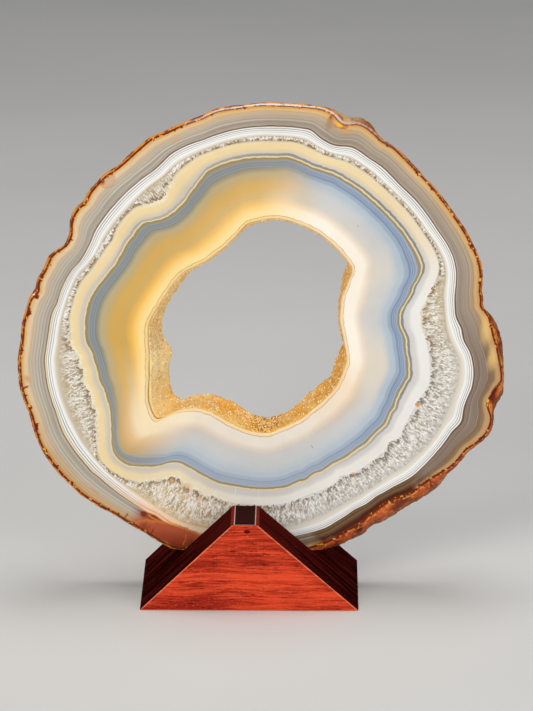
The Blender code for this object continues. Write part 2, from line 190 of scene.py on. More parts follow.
HOLLOW_FAR = [
    (0, 41.6), (5, 42.9), (10, 43.8), (20, 43.8), (35, 43.8), (52, 43.5), (54, 42.0), (57, 39.0),
    (60, 37.0), (64, 35.4), (70, 33.0), (75, 32.0), (80, 31.6), (88, 31.2), (95, 32.1),
    (103, 33.6), (108, 32.8), (120, 33.3), (129, 34.8), (133, 34.0), (145, 33.7), (153, 34.8),
    (160, 37.0), (165, 37.7), (174, 38.2), (180, 37.5), (186, 36.5), (195, 34.0), (200, 33.2),
    (207, 33.3), (214, 34.8), (217, 35.5), (220, 37.5), (222, 39.0), (225, 43.6), (227, 44.3),
    (231, 44.3), (235, 43.0), (240, 41.4), (246, 38.5), (252, 36.2), (258, 36.7), (266, 38.6),
    (270, 38.6), (280, 37.3), (290, 35.8), (300, 35.0), (307, 34.7), (315, 33.5), (323, 32.8),
    (330, 33.0), (336, 33.7), (345, 36.6), (350, 38.7), (354, 40.8),
]

# Where round the clock each tint of the stone lies, as (degrees, share from 0 to 1)
TINTS = {
    # Amber instead of blue-white between the yellow line and the hollow
    "amber": [(0, 1.0), (8, 0.9), (14, 0.6), (21, 0.2), (28, 0.0), (207, 0.0), (213, 0.12),
              (218, 0.5), (224, 1.0), (350, 1.0)],
    # The amber fades to cream close to the hollow
    "pale": [(0, 0.2), (6, 0.4), (14, 0.5), (22, 0.0), (210, 0.0), (214, 0.8), (222, 1.0),
             (232, 0.85), (242, 0.45), (252, 0.15), (262, 0.0)],
    # Peach beside the lip, lower right and bottom
    "peach": [(110, 0.0), (125, 0.7), (140, 0.6), (160, 0.25), (175, 0.15), (190, 0.3),
              (214, 0.35), (220, 0.0)],
    # The blue band is paler, bottom
    "bottom": [(120, 0.0), (160, 0.8), (190, 1.0), (214, 0.5), (220, 0.0)],
    # Cream heart of the blue-white zone, right
    "heart": [(55, 0.0), (64, 0.5), (72, 0.1), (92, 0.1), (100, 0.5), (108, 0.8), (118, 0.7),
              (128, 0.2), (134, 0.0)],
    # Cream instead of grey-white between the quartz and the yellow line
    "cream": [(0, 1.0), (50, 0.85), (62, 0.6), (70, 0.3), (80, 0.0), (186, 0.2), (198, 0.55),
              (205, 0.7), (214, 0.8), (222, 1.0), (350, 1.0)],
    # Dark line outside the yellow one
    "shadow": [(0, 0.8), (10, 0.9), (60, 1.0), (116, 1.0), (128, 0.75), (142, 0.4), (155, 0.1),
               (168, 0.0), (285, 0.0), (295, 0.3), (310, 0.5), (335, 0.45), (350, 0.7)],
    # Straw-coloured, instead of fawn, near the rim on the left
    "straw": [(0, 0.0), (206, 0.0), (216, 1.0), (320, 1.0), (336, 0.6), (350, 0.1)],
    # Dark brown shade near the rim, lower right
    "umber": [(0, 0.0), (14, 0.05), (22, 0.35), (30, 0.2), (45, 0.15), (76, 0.4), (86, 0.5),
              (94, 0.8), (99, 1.0), (185, 1.0), (196, 0.6), (212, 0.0), (350, 0.0)],
    # Brown-black stain under the rind, bottom right
    "smoke": [(0, 0.0), (126, 0.0), (134, 0.45), (142, 1.0), (157, 1.0), (168, 0.45), (190, 0.8),
              (198, 0.0)],
    # Red-brown stain, bottom left
    "russet": [(0, 0.0), (193, 0.0), (197, 1.0), (209, 1.0), (211, 0.95), (212.4, 0.0),
               (350, 0.0)],
    # Gold in the white band and the quartz, bottom left
    "gilt": [(0, 0.0), (186, 0.0), (195, 0.8), (203, 1.0), (209, 0.9), (214, 0.45), (222, 0.1),
             (230, 0.0), (350, 0.0)],
    # The white band opens with a cream line, not a brown one
    "ivory": [(0, 0.0), (188, 0.0), (200, 0.8), (210, 1.0), (262, 1.0), (280, 0.7), (292, 0.35),
              (304, 0.0)],
    # The quartz is greyer, bottom right, and the ring between it and the stripes whiter
    "frost": [(0, 0.0), (88, 0.0), (100, 0.7), (112, 1.0), (172, 1.0), (186, 0.3), (196, 0.0)],
    # Caramel shade near the rim, bottom left
    "caramel": [(205, 0.0), (212, 0.8), (228, 0.8), (240, 0.4), (254, 0.0)],
    # Where the rind is broad and craggy, and where it is pale
    "crag": [(17, 0.0), (20, 1.0), (29, 1.0), (33, 0.3), (42, 0.0), (85, 0.0), (88, 0.3),
             (112, 0.4), (126, 0.4), (130, 1.0), (170, 1.0), (184, 0.3), (190, 0.0)],
    "sandy": [(17, 0.0), (19, 1.0), (24, 1.0), (27, 0.0), (350, 0.0)],
    # Width of the painted highlight along the rim, a white line for the glint off a polished bevel
    "painted_highlight": [(0, 1.0), (14, 1.0), (20, 0.6), (27, 0.4), (32, 0.1), (60, 0.0), (338, 0.0),
                (349, 0.8)],
}

# Colours as the eye gives them, red, green and blue from 0 to 255
COLOURS = {
    "rust": (150, 76, 32), "burnt_honey": (180, 108, 46), "honey": (208, 148, 78),
    "light_honey": (226, 176, 106), "honey_glow": (236, 198, 124), "straw": (226, 190, 134),
    "sand": (216, 186, 142), "fawn": (204, 181, 152), "fawn_grey": (188, 173, 153),
    "grey_fawn": (172, 160, 146), "brown_line": (122, 92, 60), "umber_light": (192, 154, 108),
    "umber": (150, 120, 90), "umber_deep": (132, 108, 84), "umber_grey": (140, 124, 113),
    "umber_dark": (102, 66, 34), "smoke": (78, 34, 16), "smoke_brown": (98, 64, 42),
    "smoke_light": (120, 96, 70), "russet": (118, 46, 22), "russet_light": (158, 66, 38),
    "russet_glow": (184, 86, 56), "blush": (248, 208, 180), "chalk": (244, 243, 240),
    "white_grey": (200, 199, 194), "stone_grey": (152, 149, 143), "dove": (196, 186, 168),
    "dove_dark": (180, 174, 162), "straw_pale": (226, 200, 162), "linen": (229, 223, 211),
    "oat": (212, 201, 182), "oat_dark": (198, 183, 158), "ivory": (232, 216, 178),
    "ivory_dark": (190, 174, 144), "apricot": (246, 164, 116), "apricot_light": (254, 218, 188),
    "gilt": (252, 216, 164), "butter": (241, 217, 165), "butter_grey": (226, 209, 174),
    "cream_grey": (209, 200, 186), "pearl": (238, 237, 234), "pearl_grey": (212, 210, 208),
    "pearl_dark": (184, 179, 170), "olive_brown": (156, 138, 96), "olive": (158, 137, 94),
    "slate_olive": (150, 146, 126), "slate": (151, 157, 158), "slate_dark": (126, 134, 140),
    "moss": (186, 173, 138), "old_gold": (197, 170, 114), "gold": (212, 170, 88),
    "amber": (240, 188, 90), "amber_light": (254, 207, 108), "amber_cream": (255, 226, 152),
    "tan": (213, 176, 121), "tan_light": (237, 202, 152), "tan_cream": (252, 234, 198),
    "blue": (161, 177, 196), "blue_dark": (130, 145, 174), "sky": (184, 197, 207),
    "mist": (195, 203, 209), "mist_warm": (208, 208, 207), "shell": (217, 212, 204),
    "peach_pale": (241, 225, 205), "cream_white": (255, 246, 229), "heart_cream": (236, 222, 200),
    "peach": (250, 226, 202), "yellow": (234, 212, 162), "shadow": (118, 122, 122),
    "lip_line": (200, 146, 98), "lip": (250, 216, 150), "rim_line": (112, 34, 6),
    "rim_gold": (240, 166, 66), "painted_highlight": (238, 226, 214), "quartz_beige": (198, 182, 152),
    "quartz_frost": (194, 189, 180), "quartz_gilt": (220, 192, 146),
    "quartz_spark": (248, 245, 238), "quartz_gap": (148, 130, 104), "quartz_tip": (138, 108, 70),
    "quartz_shade": (124, 110, 92), "quartz_echo": (246, 238, 216), "rind_red": (138, 44, 18),
    "rind_orange": (206, 92, 42), "rind_gold": (246, 184, 92), "rind_amber": (238, 146, 42),
    "rind_brown": (150, 58, 12), "rind_sand": (208, 172, 132), "rind_bark": (122, 78, 50),
    "rind_clay": (168, 114, 74), "rind_dark": (66, 22, 8), "rind_maroon": (92, 26, 12),
    "stain_dark": (118, 40, 18), "stain_red": (140, 58, 28), "stain_orange": (208, 124, 58),
    "stain_fire": (255, 186, 48), "stain_tan": (218, 160, 102), "druse_gold": (240, 172, 46),
    "druse_honey": (255, 226, 160), "druse_brown": (184, 116, 40), "druse_ash": (84, 58, 34),
    "druse_painted_sparkle": (255, 246, 224), "wood_bright": (228, 78, 46), "wood_shade": (150, 38, 26),
    "wood_pore": (60, 10, 8), "wood_fleck_and_edge_highlight": (240, 132, 92), "wood_polished_and_shaded": (34, 5, 6),
    "wood_glow": (92, 26, 20), "wood_top": (52, 26, 22), "wood_painted_sheen": (196, 176, 168),
    "wood_frame": (128, 42, 30), "floor": (232, 231, 228), "floor_mottle": (216, 215, 211),
}

# Colours of each layer of the stone, from its outer edge at 0 to its inner edge at 1
FAWN_RIM = [
    (0.0, "rust"), (0.03, "burnt_honey"), (0.08, "honey"), (0.15, "light_honey"), (0.22, "straw"),
    (0.29, "sand"), (0.37, "fawn"), (0.60, "fawn_grey"), (0.80, "grey_fawn"),
    (0.955, "grey_fawn"), (0.975, "brown_line"), (1.0, "brown_line"),
]
STRAW_RIM = [
    (0.0, "burnt_honey"), (0.04, "honey"), (0.11, "light_honey"), (0.18, "straw_pale"),
    (0.29, "straw_pale"), (0.37, "fawn"), (0.46, "dove"), (0.66, "dove"), (0.74, "dove_dark"),
    (0.945, "dove_dark"), (0.97, "umber"), (1.0, "brown_line"),
]
UMBER_RIM = [
    (0.0, "rust"), (0.04, "burnt_honey"), (0.09, "umber_light"), (0.20, "umber_light"),
    (0.30, "umber"), (0.40, "umber_deep"), (0.50, "umber_deep"), (0.56, "umber_grey"),
    (0.76, "umber_grey"), (0.80, "umber_deep"), (0.84, "umber_grey"), (0.945, "umber_grey"),
    (0.965, "umber_dark"), (1.0, "umber_dark"),
]
SMOKE_RIM = [
    (0.0, "rust"), (0.10, "russet"), (0.20, "smoke"), (0.38, "smoke"), (0.50, "smoke_brown"),
    (0.70, "smoke_light"), (0.80, "umber_dark"), (0.90, "smoke_light"), (1.0, "umber_dark"),
]
RUSSET_RIM = [
    (0.0, "honey"), (0.07, "russet"), (0.22, "russet_light"), (0.48, "russet_glow"),
    (0.70, "russet_light"), (0.86, "russet"), (0.92, "stain_orange"), (0.97, "blush"),
    (1.0, "blush"),
]
SNOW_STRIPES = [
    (0.0, "brown_line"), (0.02, "brown_line"), (0.055, "chalk"), (0.10, "chalk"),
    (0.13, "stone_grey"), (0.145, "stone_grey"), (0.18, "chalk"), (0.225, "chalk"),
    (0.255, "stone_grey"), (0.29, "chalk"), (0.34, "chalk"), (0.37, "white_grey"),
    (0.40, "chalk"), (0.49, "chalk"), (0.60, "linen"), (0.72, "linen"), (0.80, "oat"),
    (0.94, "oat_dark"), (1.0, "umber"),
]
IVORY_STRIPES = [
    (0.0, "ivory_dark"), (0.03, "ivory"), (0.08, "ivory"), (0.11, "dove_dark"), (0.15, "chalk"),
    (0.19, "chalk"), (0.22, "stone_grey"), (0.235, "stone_grey"), (0.27, "chalk"),
    (0.33, "chalk"), (0.36, "stone_grey"), (0.39, "chalk"), (0.50, "chalk"), (0.62, "linen"),
    (0.74, "oat"), (1.0, "oat_dark"),
]
GILT_STRIPES = [
    (0.0, "blush"), (0.05, "apricot_light"), (0.10, "apricot"), (0.17, "apricot"),
    (0.26, "apricot_light"), (0.32, "gilt"), (0.37, "apricot_light"), (0.42, "peach_pale"),
    (0.48, "apricot_light"), (0.54, "gilt"), (0.74, "gilt"), (1.0, "tan"),
]
CREAM_RING = [
    (0.0, "ivory_dark"), (0.06, "butter_grey"), (0.13, "butter"), (0.46, "butter"),
    (0.62, "butter_grey"), (0.80, "cream_grey"), (0.92, "cream_grey"), (1.0, "butter_grey"),
]
PEARL_RING = [
    (0.0, "pearl_dark"), (0.07, "pearl"), (0.46, "pearl"), (0.66, "pearl_grey"),
    (0.86, "pearl_grey"), (1.0, "cream_grey"),
]
AMBER_CORE = [
    (0.0, "moss"), (0.016, "olive_brown"), (0.034, "olive"), (0.052, "slate_olive"),
    (0.08, "slate"), (0.10, "slate_dark"), (0.12, "slate"), (0.14, "slate_dark"), (0.16, "slate"),
    (0.178, "slate_dark"), (0.205, "slate_olive"), (0.27, "moss"), (0.36, "old_gold"),
    (0.45, "gold"), (0.60, "gold"), (0.615, "old_gold"), (0.63, "gold"), (0.67, "gold"),
    (0.76, "amber"), (0.82, "amber_light"), (0.92, "amber_cream"), (1.0, "amber_cream"),
]
TAN_CORE = [
    (0.0, "tan"), (0.025, "olive_brown"), (0.045, "moss"), (0.075, "stone_grey"),
    (0.11, "stone_grey"), (0.15, "slate"), (0.18, "moss"), (0.21, "old_gold"), (0.30, "tan"),
    (0.50, "tan_light"), (0.66, "tan_cream"), (1.0, "tan_cream"),
]
BLUE_CORE = [
    (0.0, "cream_grey"), (0.018, "ivory_dark"), (0.032, "olive_brown"), (0.05, "slate"),
    (0.062, "blue"), (0.078, "blue"), (0.09, "blue_dark"), (0.104, "blue"), (0.12, "blue_dark"),
    (0.132, "blue"), (0.148, "blue_dark"), (0.16, "blue_dark"), (0.18, "blue"), (0.215, "blue"),
    (0.245, "sky"), (0.29, "sky"), (0.34, "mist"), (0.44, "mist_warm"), (0.50, "mist_warm"),
    (0.66, "shell"), (0.74, "peach_pale"), (0.82, "cream_white"), (1.0, "cream_white"),
]
# How much light the fine grey lines near the rim take away, from the rim inwards
RIM_LINES = [
    (0.0, 0.0), (0.36, 0.0), (0.38, 0.5), (0.41, 0.0), (0.46, 0.1), (0.48, 0.8), (0.51, 0.7),
    (0.53, 0.0), (0.59, 0.2), (0.61, 1.0), (0.64, 0.9), (0.66, 0.1), (0.71, 0.2), (0.73, 0.8),
    (0.75, 0.1), (0.79, 0.3), (0.81, 1.0), (0.85, 0.8), (0.87, 0.0), (0.91, 0.6), (0.94, 0.0),
]

# Spots, stains and cracks on the face: where (clock degrees, mm from the centre), half sizes in
# mm round and across the layers, softness of the edge, strength and colour
MARKS = [
    (18.5, 87.0, 2.4, 4.4, 0.9, 0.55, "umber"), (18.4, 88.9, 1.3, 3.0, 0.95, 0.9, "stain_orange"),
    (18.2, 89.8, 0.8, 1.4, 0.8, 0.8, "stain_red"),
    (20.0, 86.6, 1.8, 1.2, 0.9, 0.7, "stain_orange"), (20.0, 89.4, 1.7, 1.5, 0.9, 0.8, "straw"),
    (20.8, 87.9, 2.0, 1.1, 0.7, 1.0, "stain_fire"),
    (22.4, 87.9, 1.7, 0.7, 0.6, 0.9, "stain_orange"),
    (22.0, 86.9, 2.4, 0.6, 0.6, 0.7, "stain_red"), (23.0, 86.2, 4.0, 1.1, 0.9, 0.8, "stain_tan"),
    (5.0, 89.9, 0.8, 0.6, 0.4, 0.9, "stain_dark"), (50.4, 88.0, 0.8, 0.6, 0.4, 0.9, "stain_dark"),
    (91.0, 90.0, 9.0, 3.2, 0.9, 0.7, "honey_glow"),
    (98.4, 93.8, 7.5, 3.0, 0.9, 0.7, "honey_glow"),
    (89.0, 89.6, 4.0, 1.0, 0.9, 0.6, "light_honey"),
    (120.5, 98.4, 3.5, 1.0, 0.8, 0.5, "stain_orange"),
    (200.0, 99.8, 20.5, 9.4, 0.05, 0.9, "stain_orange"),
    (200.0, 100.0, 19.9, 9.0, 0.12, 0.95, "russet_glow"),
    (200.0, 101.4, 19.4, 8.6, 0.5, 0.9, "russet_light"),
    (198.0, 101.0, 16.0, 4.6, 0.9, 0.8, "russet"), (210.4, 92.6, 2.0, 1.8, 0.6, 0.9, "russet"),
    (207.9, 92.2, 3.8, 0.5, 0.6, 0.9, "stain_orange"),
    (203.0, 91.4, 5.0, 0.5, 0.7, 0.6, "stain_fire"), (208.6, 97.4, 3.6, 3.4, 0.9, 0.6, "russet"),
    (196.0, 97.6, 4.0, 3.0, 0.9, 0.45, "umber_dark"),
    (206.4, 98.0, 0.5, 3.2, 0.7, 0.65, "stain_dark"), (208.2, 96.0, 0.5, 2.0, 0.8, 0.4, "umber"),
    (198.5, 96.0, 0.35, 4.0, 0.6, 0.8, "stain_orange"),
    (196.8, 96.8, 2.0, 4.0, 0.8, 0.7, "umber_dark"),
    (204.0, 99.8, 6.0, 0.7, 0.6, 0.8, "stain_orange"),
    (215.6, 98.6, 0.4, 1.4, 0.5, 0.8, "stain_red"),
    (213.8, 97.2, 0.5, 2.0, 0.6, 0.7, "stain_red"),
    (219.6, 99.8, 0.4, 0.9, 0.5, 0.8, "stain_red"),
    (223.5, 96.9, 3.4, 0.22, 0.6, 0.8, "stain_orange"),
    (254.2, 98.0, 0.7, 2.2, 0.6, 0.9, "stain_dark"),
    (256.2, 96.0, 2.2, 1.8, 0.9, 0.5, "stain_orange"),
    (258.0, 98.3, 0.5, 1.3, 0.5, 0.8, "stain_red"),
    (262.0, 96.0, 1.2, 1.0, 0.9, 0.4, "stain_tan"),
    (281.0, 89.2, 1.9, 0.9, 0.7, 0.8, "stain_red"),
    (286.4, 86.8, 0.5, 0.9, 0.5, 0.9, "stain_dark"),
    (288.8, 86.4, 1.6, 1.2, 0.9, 0.5, "stain_tan"),
    (303.0, 85.6, 1.5, 0.7, 0.5, 0.9, "stain_red"),
    (314.5, 83.9, 3.8, 2.9, 0.22, 0.45, "stain_orange"),
    (314.7, 83.8, 3.2, 2.4, 0.5, 0.75, "fawn"), (313.4, 85.2, 2.2, 1.3, 0.9, 0.9, "burnt_honey"),
    (313.6, 85.6, 0.9, 0.8, 0.5, 0.9, "stain_dark"),
    (315.2, 86.6, 2.4, 0.7, 0.6, 0.9, "stain_red"),
    (316.8, 85.4, 0.6, 1.2, 0.5, 0.9, "stain_dark"),
    (326.3, 85.6, 1.8, 0.5, 0.6, 0.9, "stain_red"),
    (336.5, 82.6, 4.0, 2.2, 1.0, 0.4, "stain_tan"), (117.8, 71.5, 1.4, 1.2, 0.6, 0.9, "honey"),
    (148.9, 72.9, 0.8, 0.7, 0.7, 0.8, "stain_tan"),
    (198.5, 78.0, 1.8, 1.8, 0.9, 0.5, "stain_tan"),
    (203.4, 74.3, 3.6, 2.2, 0.9, 0.55, "stain_tan"),
    (208.4, 74.2, 1.7, 1.5, 0.25, 0.8, "brown_line"), (208.4, 74.4, 1.2, 1.0, 0.4, 1.0, "tan"),
    (43.5, 56.0, 0.35, 0.35, 0.6, 0.7, "umber"), (157.5, 55.2, 0.3, 0.9, 0.7, 0.7, "stain_red"),
    (188.0, 71.6, 0.25, 3.6, 0.6, 0.5, "chalk"), (180.5, 71.6, 0.25, 3.6, 0.6, 0.4, "chalk"),
]
# The same for the spots that lie on the rim itself
RIM_MARKS = [
    (88.2, 91.7, 1.4, 0.9, 0.5, 1.0, "rind_red"), (92.8, 95.4, 1.9, 1.0, 0.6, 0.9, "stain_dark"),
    (95.0, 96.0, 1.3, 1.6, 0.6, 0.9, "rind_red"), (97.4, 97.2, 0.6, 1.6, 0.5, 0.8, "stain_red"),
    (100.2, 98.3, 0.6, 1.3, 0.5, 0.8, "stain_dark"),
    (107.2, 98.0, 5.0, 1.8, 0.5, 0.95, "rind_maroon"),
    (106.6, 98.9, 3.4, 0.6, 0.8, 0.8, "rind_orange"),
    # The spot at 277.7 degrees is a painted highlight, a white glint on a curl of the rind
    (277.3, 89.6, 1.5, 1.3, 0.4, 1.0, "stain_dark"), (277.7, 90.6, 0.5, 0.5, 0.5, 1.0, "painted_highlight"),
]
# Where round the clock a patch of the crystals is nearly black
ASH_CRYSTALS = [(0, 0.0), (166, 0.0), (171, 1.0), (180, 1.0), (187, 0.0), (350, 0.0)]
# Where round the clock the crystals of the hollow are paler
PALE_CRYSTALS = [
    (0, 0.45), (45, 0.35), (75, 0.2), (95, 0.05), (140, 0.0), (165, 0.15), (200, 0.2), (228, 0.4),
    (240, 0.9), (258, 0.9), (270, 0.55), (300, 0.45), (350, 0.45),
]


def linear(name):
    """A named colour as Blender's linear values: the sRGB curve, undone."""
    shares = np.array(COLOURS[name]) / 255
    dark, light = shares / 12.92, ((shares + 0.055) / 1.055) ** 2.4
    return (*np.where(shares <= 0.04045, dark, light).tolist(), 1.0)


# Shapes round the clock

def clock(points, soften=0.7):
    """A smooth closed run round the clock: straight between the (degrees, value) points, then
    blurred by a bell curve `soften` degrees wide, worked out on the run's Fourier waves."""
    degrees, values = zip(*points)
    waves = np.fft.rfft(np.interp(ANGLES, degrees, values, period=360))
    count = np.arange(len(waves))
    return np.fft.irfft(waves * np.exp(-0.5 * (count * math.radians(soften)) ** 2), COLUMNS)


def behind(radii, depth):
    """Distances from the centre, at a depth behind the face, of the ring that the camera sees at
    the given distances on the face: every point moves back along its own sight line."""
    eye = np.array(CAMERA_PLACE)
    reach = depth / (FACE_Y - eye[1])
    across = radii * np.sin(TURN)
    up = radii * np.cos(TURN)
    across = across + (across + CENTRE_X - eye[0]) * reach
    up = up + (up + CENTRE_Z - eye[2]) * reach
    degrees = np.degrees(np.arctan2(across, up)) % 360.0
    return np.interp(ANGLES, degrees, np.hypot(across, up), period=360)


def lumps(rows, round_cells, row_cells, seed):
    """Smooth random heights from -1 to 1 on a rows by COLUMNS grid, closed round the clock: a
    random lattice, eased between its points with 3t^2 - 2t^3."""
    lattice = np.random.default_rng(seed).uniform(-1, 1, (row_cells + 2, round_cells))
    across = np.arange(COLUMNS) / COLUMNS * round_cells
    down = np.linspace(0, row_cells, rows)
    column, row = across.astype(int), down.astype(int)
    s, t = across - column, down - row
    s, t = s * s * (3 - 2 * s), (t * t * (3 - 2 * t))[:, None]
    after = (column + 1) % round_cells
    top = lattice[row][:, column] * (1 - s) + lattice[row][:, after] * s
    bottom = lattice[row + 1][:, column] * (1 - s) + lattice[row + 1][:, after] * s
    return top * (1 - t) + bottom * t


def points_at(radii, depth):
    """Points of a rows by COLUMNS grid of distances from the centre and depths behind the face."""
    x = CENTRE_X + radii * np.sin(TURN)
    z = np.maximum(CENTRE_Z + radii * np.cos(TURN), FOOT_Z)
    return np.stack([x, FACE_Y + np.broadcast_to(depth, radii.shape), z], axis=-1)


def closed_faces(rows, columns, close_rows=True):
    """Quads of a grid that closes on itself round its columns and, if asked, its rows."""
    row = np.arange(rows if close_rows else rows - 1)[:, None]
    column = np.arange(columns)[None, :]
    after_row, after_column = (row + 1) % rows, (column + 1) % columns
    quad = [row * columns + column, row * columns + after_column,
            after_row * columns + after_column, after_row * columns + column]
    return np.stack(quad, axis=-1).reshape(-1, 4)


def new_mesh(name, points, faces, numbers=None, smooth=True):
    """An object of the points and faces (all of one corner count), with per-point numbers."""
    corners = faces.shape[1]
    mesh = bpy.data.meshes.new(name)
    mesh.vertices.add(len(points))
    mesh.vertices.foreach_set("co", points.astype(np.float32).ravel())
    mesh.loops.add(faces.size)
    mesh.loops.foreach_set("vertex_index", faces.astype(np.int32).ravel())
    mesh.polygons.add(len(faces))
    mesh.polygons.foreach_set("loop_start", np.arange(len(faces), dtype=np.int32) * corners)
    mesh.polygons.foreach_set("loop_total", np.full(len(faces), corners, dtype=np.int32))
    mesh.polygons.foreach_set("use_smooth", np.full(len(faces), smooth))
    for label, values in (numbers or {}).items():
        layer = mesh.attributes.new(label, "FLOAT", "POINT")
        layer.data.foreach_set("value", np.ascontiguousarray(values, dtype=np.float32).ravel())
    mesh.update(calc_edges=True)
    mesh.validate()
    thing = bpy.data.objects.new(name, mesh)
    bpy.context.scene.collection.objects.link(thing)
    return thing


# The slice

EDGES = {name: clock(points) * MM for name, points in {
    "outline": OUTLINE, "brown": BROWN_LINE, "white_end": WHITE_END,
    "quartz_outer": QUARTZ_OUTER, "quartz_inner": QUARTZ_INNER, "yellow": YELLOW_LINE,
    "hollow": HOLLOW, "hollow_far": HOLLOW_FAR}.items()}
EDGES["face"] = EDGES["outline"] - clock(RIND_SEEN) * MM
# The layers' edges from the outside in: a point's layer number is 0 on the first of them and 6 on
# the last, above 6 on the lip and the wall, and minus the depth in mm on the rind
LAYERS = ["face", "brown", "white_end", "quartz_outer", "quartz_inner", "yellow", "hollow"]
LAYER_ROWS = [4, 1, 1, 3, 2, 5]
TINT_SOFTNESS = 1.2
LIP = 1.1 * MM
CRUST_THICKNESS = 3.0 * MM
# Rings of the wall between the back and the lip, as shares of the thickness
WALL_RINGS = np.array([0.66, 0.33, 0.1])
WALL_LAYER = 6.6
# The lip's rounding: shares of LIP inwards, and of its depth
LIP_ROUNDING = np.array([[1.0, 0.95], [0.98, 0.62], [0.72, 0.22], [0.35, 0.04]])
LIP_DEPTH = 0.9 * MM

# The rind at five shares of the slice's thickness: its flare, as a share of the widest, and how
# far it draws in where it doesn't flare
RIM_ROWS = 24
RIM_STATIONS = np.array([0.0, 0.11, 0.45, 0.77, 1.0])
FLARED_OUT = [0.0, 0.40, 0.85, 1.0, 0.82]
DRAWN_IN = [0.0, 0.0, 0.6 * MM, 1.4 * MM, 2.6 * MM]
WIDEST = 3
FIRST_RIM_ROWS = [0.02, 0.05, 0.08]
NEXT_RIM_ROW = 0.115
FLARE_SOFTNESS = 1.5
# Its lumps: cells round the clock, cells across, height in mm, and if they are folded to ridges
RIND_LUMPS = [(90, 4, 0.45, False), (260, 9, 0.30, True), (610, 20, 0.18, True)]
RIND_SUNK = 0.2 * MM
# They grow over the first tenth of the thickness, and are lower where the rind doesn't flare
LUMPS_GROW_OVER = 0.10
LEAST_LUMPS = 0.45


def face_rows():
    """Distances from the centre and layer numbers from the hollow's rim out to the face's edge:
    every layer's two edges, split evenly into LAYER_ROWS strips. Layer 0 is the face's edge and
    6 the rim of the hollow."""
    radii, layers = [EDGES["hollow"]], [6.0]
    for layer in range(5, -1, -1):
        outer, inner = EDGES[LAYERS[layer]], EDGES[LAYERS[layer + 1]]
        for step in range(1, LAYER_ROWS[layer] + 1):
            share = step / LAYER_ROWS[layer]
            radii.append(inner + (outer - inner) * share)
            layers.append(layer + 1 - share)
    return np.array(radii), np.array(layers)


def rim_rows():
    """Distances and depths of the rind from just behind the face's edge to the back face's edge:
    it flares out or draws in behind the face. Lumps at three sizes roughen it, the finer two
    folded to sharp ridges with 1 - 2|n|."""
    outline, face = EDGES["outline"], EDGES["face"]
    flare = clock(FLARE, FLARE_SOFTNESS)
    widest = behind(outline, RIM_STATIONS[WIDEST] * THICKNESS)
    rings = []
    for station, out, draw in zip(RIM_STATIONS, FLARED_OUT, DRAWN_IN):
        limit = behind(outline, station * THICKNESS)
        flaring = face + (widest - face) * out
        drawing_in = np.minimum(limit, outline) - draw
        rings.append(np.minimum(flaring * flare + drawing_in * (1 - flare), limit))
    rings[0] = face
    rings = np.array(rings)
    shares = np.concatenate([FIRST_RIM_ROWS, np.linspace(NEXT_RIM_ROW, 1.0, RIM_ROWS - 3)])
    at = np.clip(np.searchsorted(RIM_STATIONS, shares, side="right") - 1, 0, len(rings) - 2)
    mix = ((shares - RIM_STATIONS[at]) / (RIM_STATIONS[at + 1] - RIM_STATIONS[at]))[:, None]
    radii = rings[at] * (1 - mix) + rings[at + 1] * mix
    rough = 0.0
    for seed, (round_cells, row_cells, height, folded) in enumerate(RIND_LUMPS, SEED):
        bumps = lumps(RIM_ROWS, round_cells, row_cells, seed)
        rough = rough + (1 - 2 * np.abs(bumps) if folded else bumps) * height
    grown = np.clip(shares / LUMPS_GROW_OVER, 0, 1)[:, None]
    ease = grown * (LEAST_LUMPS + (1 - LEAST_LUMPS) * flare)
    radii = radii + (rough * MM - RIND_SUNK) * ease
    return radii, shares * THICKNESS


def wall_edge(depth):
    """Distance of the stone's own wall in the hollow, straight from the rim to the crust."""
    back = behind(EDGES["hollow_far"], THICKNESS) + CRUST_THICKNESS
    return EDGES["hollow"] + (back - EDGES["hollow"]) * depth / THICKNESS


def slice_grid():
    """All rings of the slice in order, as distances, depths, layer numbers and the distances that
    colours go by: the polished face from the hollow outwards, the rind, the back face inwards,
    the wall, and the rounded lip."""
    front, layers = face_rows()
    rim, rim_depth = rim_rows()
    back_wall = wall_edge(THICKNESS)
    share = (front - front[0]) / (front[-1] - front[0])
    back = back_wall + (rim[-1] - back_wall) * share
    lip_radii = EDGES["hollow"] - LIP * LIP_ROUNDING[:, :1]
    lip_depth = LIP_ROUNDING[:, 1] * LIP_DEPTH
    wall_depth = WALL_RINGS * THICKNESS
    wall = np.array([wall_edge(depth) for depth in wall_depth])
    radii = np.concatenate([front, rim, back[-2::-1], wall, lip_radii])
    depth = np.concatenate([np.zeros(len(front)), rim_depth, np.full(len(front) - 1, THICKNESS),
                            wall_depth, lip_depth])
    layer = np.concatenate([layers, -rim_depth / MM, layers[-2::-1],
                            np.full(len(wall), WALL_LAYER), 6.0 + LIP_ROUNDING[:, 0] * 0.5])
    same = np.concatenate([front, np.repeat(front[-1:], len(rim), 0) + rim_depth[:, None],
                           front[-2::-1], np.repeat(front[:1], len(wall), 0), lip_radii])
    return radii, depth, layer, same


def make_slice():
    """The slice as one closed surface, with the layer number and the distances in millimetres
    from the lines of the stone kept on its points for the material."""
    radii, depth, layer, same = slice_grid()
    rows = len(radii)
    points = np.clip(points_at(radii, depth[:, None]), SLICE_LOW, SLICE_HIGH).reshape(-1, 3)
    numbers = {"layer": np.repeat(layer, COLUMNS), "from_edge": (same - EDGES["face"]) / MM}
    for name in ("quartz_outer", "quartz_inner", "yellow", "hollow"):
        numbers["from_" + name] = (same - EDGES[name]) / MM
    for name, tint in TINTS.items():
        numbers["tint_" + name] = np.tile(clock(tint, TINT_SOFTNESS), rows)
    stone = new_mesh("agate_slice_stone", points, closed_faces(rows, COLUMNS), numbers)
    face_strips = sum(LAYER_ROWS)
    flat = np.zeros(rows, dtype=bool)
    flat[:face_strips] = True
    flat[face_strips + RIM_ROWS:2 * face_strips + RIM_ROWS] = True
    stone.data.polygons.foreach_set("use_smooth", np.repeat(~flat, COLUMNS))
    return stone


# The crystal crust

